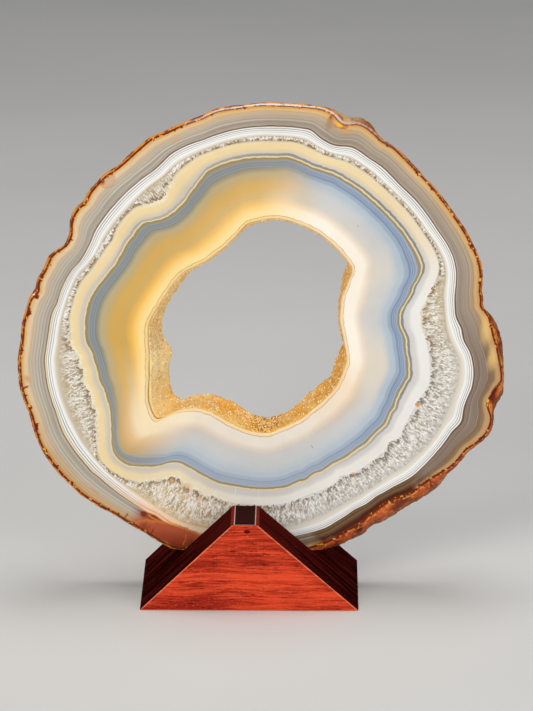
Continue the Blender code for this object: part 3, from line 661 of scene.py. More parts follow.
BED_ROWS = 22
CRUST_START = 1.0 * MM
CRUST_GAP = 0.4 * MM
NEAR_CRUST = 0.9 * MM
FAR_CRUST = 0.7 * MM
BED_LUMPS = [(150, 7, 0.35), (420, 14, 0.28)]
CRYSTAL_RINGS = 17
CRYSTALS_ROUND = 500
CRYSTAL_LEAN = 0.24
CRYSTAL_WIDTHS_MM = (0.4, 0.85)
CRYSTAL_HEIGHTS_MM = (0.2, 0.48)
CRYSTAL_SUNK = 0.3


def make_crust():
    """The crust that the crystals grow from: a closed ring of rough inner wall and plain back."""
    front, back = CRUST_START, THICKNESS
    near_outer, far_outer = wall_edge(front) - CRUST_GAP, wall_edge(back) - CRUST_GAP
    near_inner = near_outer - NEAR_CRUST
    far_inner = behind(EDGES["hollow_far"], THICKNESS) + FAR_CRUST
    shares = np.linspace(0, 1, BED_ROWS)
    inner = near_inner + (far_inner - near_inner) * shares[:, None]
    for seed, (round_cells, row_cells, height) in enumerate(BED_LUMPS, SEED + 3):
        inner = inner + lumps(BED_ROWS, round_cells, row_cells, seed) * height * MM
    radii = np.concatenate([inner, [far_outer, near_outer]])
    depth = np.concatenate([front + (back - front) * shares, [back, front]])
    points = points_at(radii, depth[:, None]).reshape(-1, 3)
    rows = len(radii)
    numbers = {"tone": np.full(rows * COLUMNS, 0.5), "tall": np.zeros(rows * COLUMNS),
               "pale": np.tile(clock(PALE_CRYSTALS), rows), "ash": np.zeros(rows * COLUMNS)}
    bed = new_mesh("druse_crust_bed", points, closed_faces(rows, COLUMNS)[:, ::-1], numbers)
    return radii[:BED_ROWS], depth[:BED_ROWS], bed


def crystal_shape():
    """Corners and triangles of one quartz point: a six-sided prism with a six-sided tip, a unit
    across and a unit tall, standing on its base."""
    turn = np.arange(6) * math.pi / 3
    circle = np.stack([np.cos(turn), np.sin(turn)], axis=1) * 0.5
    foot = np.column_stack([circle, np.zeros(6)])
    shoulder = np.column_stack([circle * 0.92, np.full(6, 0.52)])
    corners = np.concatenate([foot, shoulder, [[0.0, 0.0, 1.0]]])
    side = [(i, (i + 1) % 6, 6 + (i + 1) % 6) for i in range(6)]
    side += [(i, 6 + (i + 1) % 6, 6 + i) for i in range(6)]
    tip = [(6 + i, 6 + (i + 1) % 6, 12) for i in range(6)]
    base = [(0, i + 1, i) for i in range(1, 5)]
    return corners, np.array(side + tip + base)


def unit(vectors):
    """Vectors at length 1."""
    return vectors / np.linalg.norm(vectors, axis=1, keepdims=True)


def wall_normals(bed_radii, bed_depth, radius, turn, low, here):
    """Directions square to the bed's wall, from its slopes round the clock and backwards."""
    nothing = np.zeros_like(turn)
    out = np.stack([np.sin(turn), nothing, np.cos(turn)], axis=1)
    along = np.stack([np.cos(turn), nothing, -np.sin(turn)], axis=1)
    step = 4
    rise_round = np.roll(bed_radii, -step, axis=1) - np.roll(bed_radii, step, axis=1)
    slope_round = rise_round[low, here] / (2 * step * 2 * math.pi / COLUMNS * radius)
    slope_back = (bed_radii[-1, here] - bed_radii[0, here]) / (bed_depth[-1] - bed_depth[0])
    return -out + along * slope_round[:, None] + np.array([0.0, 1.0, 0.0]) * slope_back[:, None]


def make_crystals(bed_radii, bed_depth):
    """Small quartz points over the bed: one to each cell of a jittered grid, standing square to
    the wall with a random lean, turn and size. All share one mesh."""
    random = np.random.default_rng(SEED + 5)
    ring, place = np.meshgrid(np.arange(CRYSTAL_RINGS), np.arange(CRYSTALS_ROUND), indexing="ij")
    share = ((ring + random.uniform(0.1, 0.9, ring.shape)) / CRYSTAL_RINGS).ravel()
    column = ((place + random.uniform(0, 1, place.shape)) / CRYSTALS_ROUND * COLUMNS).ravel()
    row = share * (BED_ROWS - 1)
    low = np.minimum(row.astype(int), BED_ROWS - 2)
    part = row - low
    here = column.astype(int) % COLUMNS
    radius = bed_radii[low, here] * (1 - part) + bed_radii[low + 1, here] * part
    depth = np.interp(row, np.arange(BED_ROWS), bed_depth)
    turn = column / COLUMNS * 2 * math.pi
    base = np.stack([CENTRE_X + np.sin(turn) * radius, FACE_Y + depth,
                     CENTRE_Z + np.cos(turn) * radius], axis=1)
    normal = wall_normals(bed_radii, bed_depth, radius, turn, low, here)
    normal = unit(normal + random.normal(0, CRYSTAL_LEAN, normal.shape))
    helper = np.where(np.abs(normal[:, 1:2]) < 0.8, [[0.0, 1.0, 0.0]], [[1.0, 0.0, 0.0]])
    first = unit(np.cross(helper, normal))
    second = np.cross(normal, first)
    spin = random.uniform(0, 2 * math.pi, len(normal))[:, None]
    first, second = (first * np.cos(spin) + second * np.sin(spin),
                     second * np.cos(spin) - first * np.sin(spin))
    width = random.uniform(*CRYSTAL_WIDTHS_MM, len(normal))[:, None, None] * MM
    height = random.uniform(*CRYSTAL_HEIGHTS_MM, len(normal))[:, None, None] * MM
    corners, triangles = crystal_shape()
    across = corners[None, :, 0:1] * first[:, None] + corners[None, :, 1:2] * second[:, None]
    rise = (corners[None, :, 2:3] - CRYSTAL_SUNK) * normal[:, None]
    points = base[:, None] + across * width + rise * height
    faces = triangles[None] + np.arange(len(base))[:, None, None] * len(corners)
    numbers = {"tone": np.repeat(random.uniform(0, 1, len(base)), len(corners)),
               "tall": np.tile(corners[:, 2], len(base)),
               "pale": np.repeat(clock(PALE_CRYSTALS)[here], len(corners)),
               "ash": np.repeat(clock(ASH_CRYSTALS)[here], len(corners))}
    return new_mesh("druse_crust_crystals", points.reshape(-1, 3), faces.reshape(-1, 3), numbers,
                    smooth=False)


# The wooden block

HALF_BLOCK = 0.044
BLOCK_HEIGHT = 0.036
TOP_LEFT, TOP_RIGHT = -0.0069, 0.0035
SLOT_FLOOR = 0.0160
SLOT_FRONT, SLOT_BACK = -0.0050, 0.0066
EASED_EDGE = 0.00045


def make_block():
    """The block with sloping shoulders and its slot: the corners of the front outline carried to
    four stations along Y, with the slot's floor between the middle two, and eased edges."""
    front, back = STAND_LOW[1], STAND_HIGH[1]
    floor_right = HALF_BLOCK + (TOP_RIGHT - HALF_BLOCK) * SLOT_FLOOR / BLOCK_HEIGHT
    floor_left = -HALF_BLOCK + (TOP_LEFT + HALF_BLOCK) * SLOT_FLOOR / BLOCK_HEIGHT
    corners = [
        (-HALF_BLOCK, front, 0), (HALF_BLOCK, front, 0),
        (TOP_RIGHT, front, BLOCK_HEIGHT), (TOP_LEFT, front, BLOCK_HEIGHT),
        (TOP_RIGHT, SLOT_FRONT, BLOCK_HEIGHT), (TOP_LEFT, SLOT_FRONT, BLOCK_HEIGHT),
        (floor_right, SLOT_FRONT, SLOT_FLOOR), (floor_left, SLOT_FRONT, SLOT_FLOOR),
        (TOP_RIGHT, SLOT_BACK, BLOCK_HEIGHT), (TOP_LEFT, SLOT_BACK, BLOCK_HEIGHT),
        (floor_right, SLOT_BACK, SLOT_FLOOR), (floor_left, SLOT_BACK, SLOT_FLOOR),
        (-HALF_BLOCK, back, 0), (HALF_BLOCK, back, 0),
        (TOP_RIGHT, back, BLOCK_HEIGHT), (TOP_LEFT, back, BLOCK_HEIGHT),
    ]
    faces = [
        (0, 1, 2, 3), (13, 12, 15, 14), (0, 12, 13, 1), (3, 2, 4, 5), (9, 8, 14, 15),
        (5, 4, 6, 7), (7, 6, 10, 11), (8, 9, 11, 10),
        (1, 13, 14, 8, 10, 6, 4, 2), (12, 0, 3, 5, 7, 11, 9, 15),
    ]
    mesh = bpy.data.meshes.new("stand_block")
    mesh.from_pydata(corners, [], faces)
    mesh.validate()
    block = bpy.data.objects.new("stand_block", mesh)
    bpy.context.scene.collection.objects.link(block)
    edge = block.modifiers.new("eased edges", "BEVEL")
    edge.width = EASED_EDGE
    edge.segments = 3
    edge.limit_method = "ANGLE"
    edge.use_clamp_overlap = True
    return block


# Materials

class Tree:
    """Short calls that add nodes to a tree and give back their output sockets."""

    def __init__(self, tree):
        self.nodes = tree.nodes
        self.links = tree.links

    def feed(self, socket, value):
        """Link a socket into another, or set it to a plain value or a named colour."""
        if isinstance(value, bpy.types.NodeSocket):
            self.links.new(value, socket)
        else:
            socket.default_value = linear(value) if isinstance(value, str) else value

    def node(self, kind, *values, **named):
        """A node of a kind. Values without a name feed its first inputs in order, a name with a
        capital is the input's own, and any other name is a setting."""
        made = self.nodes.new("ShaderNode" + kind)
        for name, value in named.items():
            if name[0].isupper():
                self.feed(made.inputs[name], value)
            else:
                setattr(made, name, value)
        for socket, value in zip(made.inputs, values):
            self.feed(socket, value)
        return made

    def maths(self, operation, *values):
        """One Math node."""
        return self.node("Math", *values, operation=operation).outputs[0]

    def times(self, first, *others):
        """The product of two or more values."""
        for other in others:
            first = self.maths("MULTIPLY", first, other)
        return first

    def along(self, operation, *vectors, output=0):
        """One Vector Math node."""
        return self.node("VectorMath", *vectors, operation=operation).outputs[output]

    def span(self, value, low, high, to_low=0.0, to_high=1.0, smooth=True):
        """A value carried from one range to another, eased or straight, clamped at both ends."""
        ease = "SMOOTHSTEP" if smooth else "LINEAR"
        made = self.node("MapRange", value, low, high, to_low, to_high, interpolation_type=ease)
        return made.outputs[0]

    def swing(self, value, reach, low=0.3, high=0.7):
        """Noise carried straight from low..high to -reach..reach."""
        return self.span(value, low, high, -reach, reach, False)

    def mix(self, share, first, second, blend="MIX"):
        """A colour between two colours."""
        made = self.node("Mix", share, data_type="RGBA", blend_type=blend, clamp_factor=True)
        self.feed(made.inputs[6], first)
        self.feed(made.inputs[7], second)
        return made.outputs[2]

    def over(self, colour, name, value, low, high, most=1.0, mask=None, blend="MIX"):
        """A colour with another laid over it: none of it where the value is at `low`, the share
        `most` of it at `high`, and less where there is a mask below 1."""
        share = self.span(value, low, high, 0.0, most)
        if mask is not None:
            share = self.times(share, mask)
        return self.mix(share, colour, name, blend)

    def number(self, name):
        """A number kept on the piece's points."""
        return self.node("Attribute", attribute_name=name).outputs["Fac"]

    def ramp(self, value, stops):
        """A colour ramp through (position, linear colour) stops."""
        made = self.node("ValToRGB", value)
        elements = made.color_ramp.elements
        while len(elements) < len(stops):
            elements.new(1.0)
        for element, (position, colour) in zip(elements, stops):
            element.position = position
            element.color = colour
        return made.outputs

    def bands(self, value, stops):
        """A colour between (position, colour name) stops."""
        return self.ramp(value, [(at, linear(name)) for at, name in stops])["Color"]

    def curve(self, value, stops):
        """A number between (position, share) stops, kept in the ramp's alpha."""
        return self.ramp(value, [(at, (1.0, 1.0, 1.0, share)) for at, share in stops])["Alpha"]

    def place(self):
        """The piece's own coordinates."""
        return self.node("TexCoord").outputs["Object"]

    def noise(self, vector, scale, detail=3.0, roughness=0.5, output="Fac"):
        """Noise from 0 to 1."""
        made = self.node("TexNoise", Vector=vector, Scale=scale, Detail=detail,
                         Roughness=roughness)
        return made.outputs[output]

    def stretched(self, vector, scale, detail=3.0, roughness=0.5):
        """Noise with its own scale along X, Y and Z."""
        return self.noise(self.along("MULTIPLY", vector, scale), 1.0, detail, roughness)

    def cells(self, vector, scale, feature="F1", output="Distance"):
        """Voronoi cells: the distance to a point or an edge, or each cell's own colour."""
        made = self.node("TexVoronoi", feature=feature, Vector=vector, Scale=scale)
        return made.outputs[output]

    def bump(self, height, strength, distance):
        """A Bump node's normal."""
        made = self.node("Bump", Height=height, Strength=strength, Distance=distance)
        return made.outputs["Normal"]

    def vector(self, x, y, z):
        """A vector of three values."""
        return self.node("CombineXYZ", x, y, z).outputs[0]

    def parts(self, vector):
        """The three values of a vector."""
        return self.node("SeparateXYZ", vector).outputs

    def shades(self, colour):
        """The red, green and blue of a colour."""
        return self.node("SeparateColor", colour).outputs

    def tremble(self, scale, reach, detail=1.0):
        """A vector that noise swings to and fro, by up to `reach` each way."""
        shades = self.shades(self.noise(self.place(), scale, detail, output="Color"))
        swings = [self.maths("MULTIPLY_ADD", shade, 2 * reach, -reach) for shade in shades]
        return self.vector(*swings)

    def group(self, shared, **values):
        """A shared node group, placed with its own values."""
        return self.node("Group", node_tree=shared, **values).outputs


def new_material(name, specular=0.5):
    """A material with its Principled shader, its tree, and its constant values set."""
    made = bpy.data.materials.new(name)
    made.use_nodes = True
    shader = made.node_tree.nodes["Principled BSDF"]
    shader.inputs["Specular IOR Level"].default_value = specular
    return made, shader, Tree(made.node_tree)


def mineral_grains():
    """The shared effect of close-packed mineral grains: each grain's own tone, a mask of the few
    that flash, a mask of the dark gaps between them, and a height for bumps."""
    shared = bpy.data.node_groups.new("mineral grains", "ShaderNodeTree")
    for name, way, kind in (("Place", "INPUT", "Vector"), ("Fineness", "INPUT", "Float"),
                            ("Tone", "OUTPUT", "Float"), ("Flash", "OUTPUT", "Float"),
                            ("Gap", "OUTPUT", "Float"), ("Height", "OUTPUT", "Float")):
        shared.interface.new_socket(name, in_out=way, socket_type="NodeSocket" + kind)
    tree = Tree(shared)
    place, fineness = tree.nodes.new("NodeGroupInput").outputs[:2]
    end = tree.nodes.new("NodeGroupOutput").inputs
    tones = tree.shades(tree.cells(place, fineness, output="Color"))
    edge = tree.cells(place, fineness, "DISTANCE_TO_EDGE")
    slope = tree.maths("MULTIPLY_ADD", tones[2], 0.7, tree.span(edge, 0.0, 0.3, 0.0, 0.3))
    tree.feed(end["Tone"], tones[0])
    tree.feed(end["Flash"], tree.span(tones[1], 0.84, 0.92))
    tree.feed(end["Gap"], tree.span(edge, 0.12, 0.02))
    tree.feed(end["Height"], slope)
    return shared


# The stone's material

RUN_RADIUS = 0.080
TO_CENTRE = (-CENTRE_X, 0.0, -CENTRE_Z)
FLAT = (1.0, 0.0, 1.0)


def round_the_stone(tree, arc, reach):
    """Coordinates that follow the stone's layers: `arc` units per metre of run round the clock at
    RUN_RADIUS from the centre, and `reach` units per metre from the centre outwards. The run lies
    on a cylinder, so it has no seam."""
    flat = tree.along("MULTIPLY", tree.along("ADD", tree.place(), TO_CENTRE), FLAT)
    distance = tree.along("LENGTH", flat, output="Value")
    unit = tree.parts(tree.along("NORMALIZE", flat))
    span = RUN_RADIUS * arc
    return tree.vector(tree.times(unit[0], span), tree.times(distance, reach),
                       tree.times(unit[2], span))


def hairlines(tree, layer, fineness):
    """Fine concentric lines: noise that runs fast across the layers and slowly round them."""
    place = tree.parts(tree.along("MULTIPLY", tree.place(), (9.0, 9.0, 9.0)))
    across = tree.vector(tree.times(layer, fineness), place[0], place[2])
    return tree.noise(across, 1.0, detail=2.0, roughness=0.6)


def line_at(tree, offset, middle, half, core=0.25):
    """1 on a line at `middle` millimetres from an edge, full over the inner share `core` of its
    half width and fading to 0 at `half` millimetres off."""
    off = tree.maths("ABSOLUTE", tree.maths("SUBTRACT", offset, middle))
    return tree.span(off, half, half * core)


def wandering_layer(tree, layer):
    """The layer number, shifted a little to and fro so that every line wanders, by less the
    further in the layer lies."""
    wander = tree.swing(tree.noise(tree.place(), 250.0, detail=2), 1.0, 0.2, 0.8)
    reach = tree.times(tree.span(layer, 0.9, 1.1, 0.02, 0.024),
                       tree.span(layer, 3.9, 4.1, 1.0, 0.7),
                       tree.span(layer, 4.9, 5.1, 1.0, 0.3))
    return tree.maths("MULTIPLY_ADD", wander, reach, layer)


def rim_colours(tree, layer, shifted, tint):
    """Layer 0, from the rind to the brown line, with its fine lines, pale threads and stains."""
    rim = tree.mix(tint["straw"], tree.bands(shifted, FAWN_RIM), tree.bands(shifted, STRAW_RIM))
    rim = tree.mix(tint["umber"], rim, tree.bands(shifted, UMBER_RIM))
    rim = tree.mix(tree.times(tree.curve(shifted, RIM_LINES), 0.3), rim, "umber_deep")
    rim = tree.over(rim, "linen", hairlines(tree, layer, 12.0), 0.53, 0.66, 0.34,
                    tree.span(layer, 0.3, 0.5))
    rim = tree.over(rim, "umber_light", layer, 0.55, 0.2, 0.55, tint["caramel"], "MULTIPLY")
    patchy = tree.swing(tree.noise(tree.place(), 130.0), 0.22)
    smoke = tree.span(tree.maths("ADD", tint["smoke"], patchy), 0.3, 0.75)
    rim = tree.mix(smoke, rim, tree.bands(shifted, SMOKE_RIM))
    return tree.mix(tint["russet"], rim, tree.bands(shifted, RUSSET_RIM))


def white_colours(tree, shifted, tint):
    """Layers 1 and 2, the white stripes and the clear rim of the quartz inside them."""
    across = tree.times(tree.maths("SUBTRACT", shifted, 1.0), 0.5)
    white = tree.mix(tint["ivory"], tree.bands(across, SNOW_STRIPES),
                     tree.bands(across, IVORY_STRIPES))
    white = tree.over(white, "linen", shifted, 2.1, 2.8, 0.7, tint["frost"])
    return tree.mix(tint["gilt"], white, tree.bands(across, GILT_STRIPES))


def core_colours(tree, layer, shifted, tint):
    """Layer 5, from the yellow line to the hollow: blue to cream, or slate to amber."""
    across = tree.maths("SUBTRACT", shifted, 5.0)
    cool = tree.bands(across, BLUE_CORE)
    cool = tree.over(cool, "mist", layer, 5.03, 5.06, 0.35, tint["bottom"])
    cool = tree.over(cool, "peach", layer, 5.5, 5.7, 0.8, tint["peach"], "MULTIPLY")
    heart = tree.times(tree.span(layer, 5.78, 5.66), tint["heart"])
    cool = tree.over(cool, "heart_cream", layer, 5.3, 5.42, 0.8, heart)
    warm = tree.mix(tint["pale"], tree.bands(across, AMBER_CORE), tree.bands(across, TAN_CORE))
    return tree.mix(tint["amber"], cool, warm)


def layer_colours(tree, layer, tint):
    """Every layer's colours between its two edges, with the tints round the clock. A whole layer
    number is the edge of that name in LAYERS, from the face's edge at 0 to the hollow at 6."""
    shifted = wandering_layer(tree, layer)
    rim = rim_colours(tree, layer, shifted, tint)
    white = white_colours(tree, shifted, tint)
    across = tree.maths("SUBTRACT", shifted, 4.0)
    ring = tree.mix(tint["cream"], tree.bands(across, PEARL_RING), tree.bands(across, CREAM_RING))
    core = core_colours(tree, layer, shifted, tint)
    colour = tree.mix(tree.span(shifted, 0.996, 1.004), rim, white)
    colour = tree.mix(tree.span(layer, 3.9, 4.0), colour, ring)
    colour = tree.over(colour, "umber", hairlines(tree, layer, 11.0), 0.5, 0.72, 0.25,
                       tree.span(layer, 1.0, 0.98), "MULTIPLY")
    colour = tree.over(colour, "chalk", hairlines(tree, layer, 7.0), 0.45, 0.75, 0.14,
                       tree.span(layer, 3.9, 4.1))
    colour = tree.mix(tree.span(layer, 4.995, 5.005), colour, core)
    cloud = tree.noise(tree.place(), 45.0, detail=4, roughness=0.6)
    return tree.over(colour, "umber", cloud, 0.4, 0.75, 0.08, blend="MULTIPLY")


def thin_lines(tree, colour, tint):
    """The yellow line, the dark lines on both sides of it, and the two of the hollow's rim."""
    waver = tree.swing(tree.noise(tree.place(), 420.0, detail=2), 0.2)
    yellow_off = tree.maths("ADD", tree.number("from_yellow"), waver)
    hollow_off = tree.maths("ADD", tree.number("from_hollow"), waver)
    shadow = tree.times(line_at(tree, yellow_off, 0.80, 0.64, 0.55), tint["shadow"], 0.85)
    for share, name in (
            (shadow, "shadow"),
            (line_at(tree, yellow_off, 0.0, 0.4, 0.35), "yellow"),
            (tree.times(line_at(tree, yellow_off, -0.7, 0.5), 0.75), "olive_brown"),
            (tree.times(line_at(tree, hollow_off, 0.25, 0.3, 0.3), 0.7), "lip_line")):
        colour = tree.mix(share, colour, name)
    return tree.over(colour, "lip", hollow_off, 0.05, -0.15, 0.8)


def quartz_layer(tree, colour, tint, grains):
    """The layer of clear radial crystals: its ragged inner edge of small teeth, the white glints
    and the brown hollows between them, and the milky echo inside the teeth. Where the layer is
    only a thin ring, its inner half is brown and its outer half white. Gives the colour, its mask
    and a height."""
    inner_off, outer_off = tree.number("from_quartz_inner"), tree.number("from_quartz_outer")
    narrow = tree.span(tree.maths("SUBTRACT", outer_off, inner_off), -4.0, -2.2)
    tooth, small_tooth = (tree.cells(round_the_stone(tree, arc, 0), 1.0) for arc in (620, 1500))
    reach = tree.maths("MULTIPLY_ADD", tooth, -2.4,
                       tree.maths("MULTIPLY_ADD", small_tooth, -0.9, 1.5))
    reach = tree.times(reach, tree.maths("MULTIPLY_ADD", narrow, -0.5, 1.0))
    inside = tree.maths("ADD", inner_off, reach)
    ragged = tree.noise(round_the_stone(tree, 1500, 500), 1.0, detail=2)
    outside = tree.maths("ADD", outer_off, tree.span(ragged, 0.3, 0.7, -0.4, 0.2, False))
    echo = tree.times(tree.span(inside, -2.2, -0.2), tree.span(inner_off, 2.0, 0.5), 0.7,
                      tree.maths("MULTIPLY_ADD", narrow, -0.85, 1.0))
    colour = tree.mix(echo, colour, tree.mix(tint["frost"], "quartz_echo", "pearl"))
    quartz = tree.times(tree.span(inside, -0.1, 0.15), tree.span(outside, 0.25, -0.25))

    warp = tree.tremble(420.0, 0.5)
    strokes, shards = (
        tree.group(grains, Place=tree.along("ADD", round_the_stone(tree, arc, across), warp),
                   Fineness=1.0)
        for arc, across in ((1250, 400), (2300, 950)))
    specks = tree.group(grains, Place=tree.place(), Fineness=2100.0)
    deep = tree.maths("MAXIMUM", tree.span(outer_off, -0.3, -4.0, 0.35, 1.0), narrow)
    crystal = tree.mix(tint["frost"], "quartz_beige", "quartz_frost")
    crystal = tree.mix(tint["gilt"], crystal, "quartz_gilt")
    # Painted highlights: the spark strokes and the grains that flash are white glints painted into
    # the colour
    for name, pieces, low, high, most in (
            ("quartz_spark", strokes, 0.60, 0.85, 0.5), ("quartz_gap", strokes, 0.45, 0.15, 0.55),
            ("quartz_gap", shards, 0.3, 0.1, 0.35), ("quartz_spark", shards, 0.70, 0.82, 0.6)):
        crystal = tree.over(crystal, name, pieces["Tone"], low, high, most, deep)
    crystal = tree.mix(tree.times(shards["Flash"], deep, 0.95), crystal, "chalk")
    tips = tree.times(tree.span(inside, 3.2, 0.2), tree.maths("MULTIPLY_ADD", narrow, -1.0, 1.0))
    ring = tree.times(tree.span(inside, 0.9, 0.5), narrow)
    near_tips = tree.times(tree.maths("ADD", tips, ring),
                           tree.span(strokes["Tone"], 0.8, 0.4, 0.2, 0.9))
    crystal = tree.mix(near_tips, crystal, tree.mix(tint["frost"], "quartz_tip", "quartz_shade"))
    white_half = tree.times(narrow, tree.span(inside, 0.7, 1.1))
    crystal = tree.over(crystal, "chalk", shards["Tone"], 0.40, 0.55, 0.7, white_half)
    # Painted highlights: fine specks that flash white
    crystal = tree.mix(tree.times(specks["Flash"], tree.span(deep, 0.3, 0.7, 0.3, 0.7)),
                       crystal, "chalk")
    return tree.mix(quartz, colour, crystal), quartz, shards["Height"]


def rind_edge(tree, colour, tint, grains):
    """The outermost millimetres: a dark red line with teeth inwards, and the rough rind behind it,
    amber where it is narrow, red, orange and maroon where it is broad, and brown bark on its side.
    Gives the colour, the rind's mask and its height."""
    edge = tree.number("from_edge")
    sparse = tree.noise(round_the_stone(tree, 330, 0), 1.0, detail=3, roughness=0.7)
    teeth = tree.times(tree.span(sparse, 0.56, 0.74, 0.0, 1.5, False),
                       tree.maths("MULTIPLY_ADD", tint["straw"], 0.6, 1.0))
    glint = tree.noise(tree.place(), 700.0, detail=2, roughness=0.6)
    # Painted highlights: gold glints broken along the dark red line
    shade = tree.over("rim_line", "rim_gold", glint, 0.56, 0.66)
    colour = tree.over(colour, shade, tree.maths("ADD", edge, teeth), -0.85, -0.5)

    broad = tree.noise(tree.place(), 95.0, detail=3, roughness=0.6)
    patches = tree.noise(tree.place(), 210.0, detail=2, roughness=0.55)
    grain = tree.group(grains, Place=tree.place(), Fineness=820.0)
    crag = tree.over("rind_red", "rind_orange", patches, 0.36, 0.60)
    crag = tree.over(crag, "rind_maroon", broad, 0.52, 0.64, 0.7)
    crag = tree.over(crag, "rind_sand", patches, 0.34, 0.48, mask=tint["sandy"])
    rind = tree.over("rind_brown", "rind_amber", patches, 0.42, 0.56)
    rind = tree.mix(tint["crag"], rind, crag)
    bark = tree.over("rind_bark", "rind_clay", patches, 0.34, 0.62)
    bark = tree.over(bark, "rind_red", broad, 0.45, 0.65, 0.5)
    bark = tree.mix(tint["sandy"], bark, "rind_sand")
    rind = tree.over(rind, bark, edge, 1.8, 4.5, 0.9)
    # Painted highlights: a few grains of the rind gold, as glints
    rind = tree.over(rind, "rind_gold", grain["Tone"], 0.86, 1.0, 0.3)
    rind = tree.over(rind, "rind_dark", grain["Tone"], 0.16, 0.04, 0.3)
    ridge = tree.times(line_at(tree, broad, 0.47, 0.012), tint["crag"], 0.45)
    front_ridge = tree.times(line_at(tree, edge, 0.5, 0.5), tree.span(glint, 0.48, 0.60))
    rind = tree.mix(tree.times(tree.maths("MAXIMUM", ridge, front_ridge), 0.55), rind, "rind_gold")
    skin = tree.span(edge, 0.05, 0.3)
    colour = tree.mix(skin, colour, rind)
    # Painted highlight: a broken white line along the rim's top edge, for the glint off a polished
    # bevel
    painted_highlight = tree.times(line_at(tree, edge, 0.1, 0.62), tint["painted_highlight"],
                         tree.span(glint, 0.34, 0.44, 0.5, 1.0))
    return tree.mix(painted_highlight, colour, "painted_highlight"), skin, grain["Height"]


def put_marks(tree, colour, marks):
    """Each mark is an ellipse in clock angle and distance from the middle, and noise shakes its
    edge. The clock runs from -180 to 180 degrees, so no mark may cross 6 o'clock."""
    place = tree.along("ADD", tree.place(), tree.tremble(520.0, 0.0008, detail=3))
    middle = tree.along("ADD", place, TO_CENTRE)
    across = tree.parts(middle)
    turn = tree.maths("ARCTAN2", across[0], across[2])
    distance = tree.along("LENGTH", tree.along("MULTIPLY", middle, FLAT), output="Value")
    polar = tree.vector(turn, tree.times(distance, 1.0 / MM), 0.0)
    for degrees, from_middle, half_round, half_across, soft, strength, name in marks:
        own_turn = math.radians((degrees + 180.0) % 360.0 - 180.0)
        scale = (from_middle / half_round, 1.0 / half_across, 0.0)
        shift = (-own_turn * scale[0], -from_middle * scale[1], 0.0)
        own = tree.along("MULTIPLY_ADD", polar, scale, shift)
        near = tree.along("LENGTH", own, output="Value")
        colour = tree.mix(tree.span(near, 1.0, 1.0 - soft, 0.0, strength), colour, name)
    return colour


def agate(grains):
    """The polished stone: layers, quartz, thin lines, marks and the rind's edge."""
    made, shader, tree = new_material("polished banded agate", specular=0.15)
    layer = tree.number("layer")
    tint = {name: tree.number("tint_" + name) for name in TINTS}
    colour = layer_colours(tree, layer, tint)
    colour, quartz, quartz_height = quartz_layer(tree, colour, tint, grains)
    colour = thin_lines(tree, colour, tint)
    colour = put_marks(tree, colour, MARKS)
    colour, skin, rind_height = rind_edge(tree, colour, tint, grains)
    colour = put_marks(tree, colour, RIM_MARKS)
    tree.feed(shader.inputs["Base Color"], colour)
    gloss = tree.span(tree.noise(tree.place(), 60.0), 0.3, 0.7, 0.09, 0.15)
    gloss = tree.maths("MULTIPLY_ADD", quartz, 0.14, gloss)
    gloss = tree.maths("MULTIPLY_ADD", skin, 0.42, gloss)
    tree.feed(shader.inputs["Roughness"], gloss)
    height = tree.maths("ADD", tree.times(rind_height, skin),
                        tree.times(quartz_height, quartz, 0.12))
    tree.feed(shader.inputs["Normal"], tree.bump(height, 0.6, 0.4 * MM))
    return made


def druse(grains):
    """Golden quartz: each crystal has a tone of its own, a few are painted nearly white as
    sparkles, a painted highlight, and a few are brown, and the bed between them is covered with
    finer grains."""
    made, shader, tree = new_material("golden quartz druse", specular=0.5)
    tone, tall, pale = tree.number("tone"), tree.number("tall"), tree.number("pale")
    patch = tree.swing(tree.noise(tree.place(), 110.0), 0.3)
    colour = tree.mix(tree.maths("ADD", pale, patch), "druse_gold", "druse_honey")
    colour = tree.over(colour, "druse_honey", tone, 0.55, 0.9, 0.5)
    colour = tree.over(colour, "druse_brown", tone, 0.12, 0.04, 0.4)
    spots = tree.noise(tree.place(), 320.0, detail=2)
    colour = tree.over(colour, "druse_brown", spots, 0.62, 0.74, 0.45)
    ash = tree.times(tree.number("ash"), tree.span(tone, 0.62, 0.58))
    colour = tree.over(colour, "druse_ash", tone, 0.25, 0.35, 0.9, ash)
    colour = tree.over(colour, "druse_painted_sparkle", tone, 0.86, 0.90)
    fine = tree.group(grains, Place=tree.place(), Fineness=1700.0)
    on_bed = tree.span(tall, 0.2, 0.0)
    colour = tree.over(colour, "druse_honey", fine["Tone"], 0.55, 0.9, 0.6, on_bed)
    tree.feed(shader.inputs["Base Color"], colour)
    tree.feed(shader.inputs["Roughness"], tree.span(tone, 0.0, 1.0, 0.12, 0.35))
    height = tree.times(fine["Height"], on_bed)
    tree.feed(shader.inputs["Normal"], tree.bump(height, 0.4, 0.2 * MM))
    return made


KNOT_PLACE = (-0.0008, -0.03, 0.0335)
KNOT_SIZE = (0.0014, 1.0, 0.0009)


def slope_distance(tree, x, z, top):
    """Metres below the plane of the shoulder that runs from the block's foot to a top edge."""
    run = HALF_BLOCK - abs(top)
    steep = math.hypot(run, BLOCK_HEIGHT)
    side = tree.times(x, math.copysign(1.0, top))
    level = tree.maths("MULTIPLY_ADD", side, -BLOCK_HEIGHT / steep,
                       HALF_BLOCK * BLOCK_HEIGHT / steep)
    return tree.maths("MULTIPLY_ADD", z, -run / steep, level)


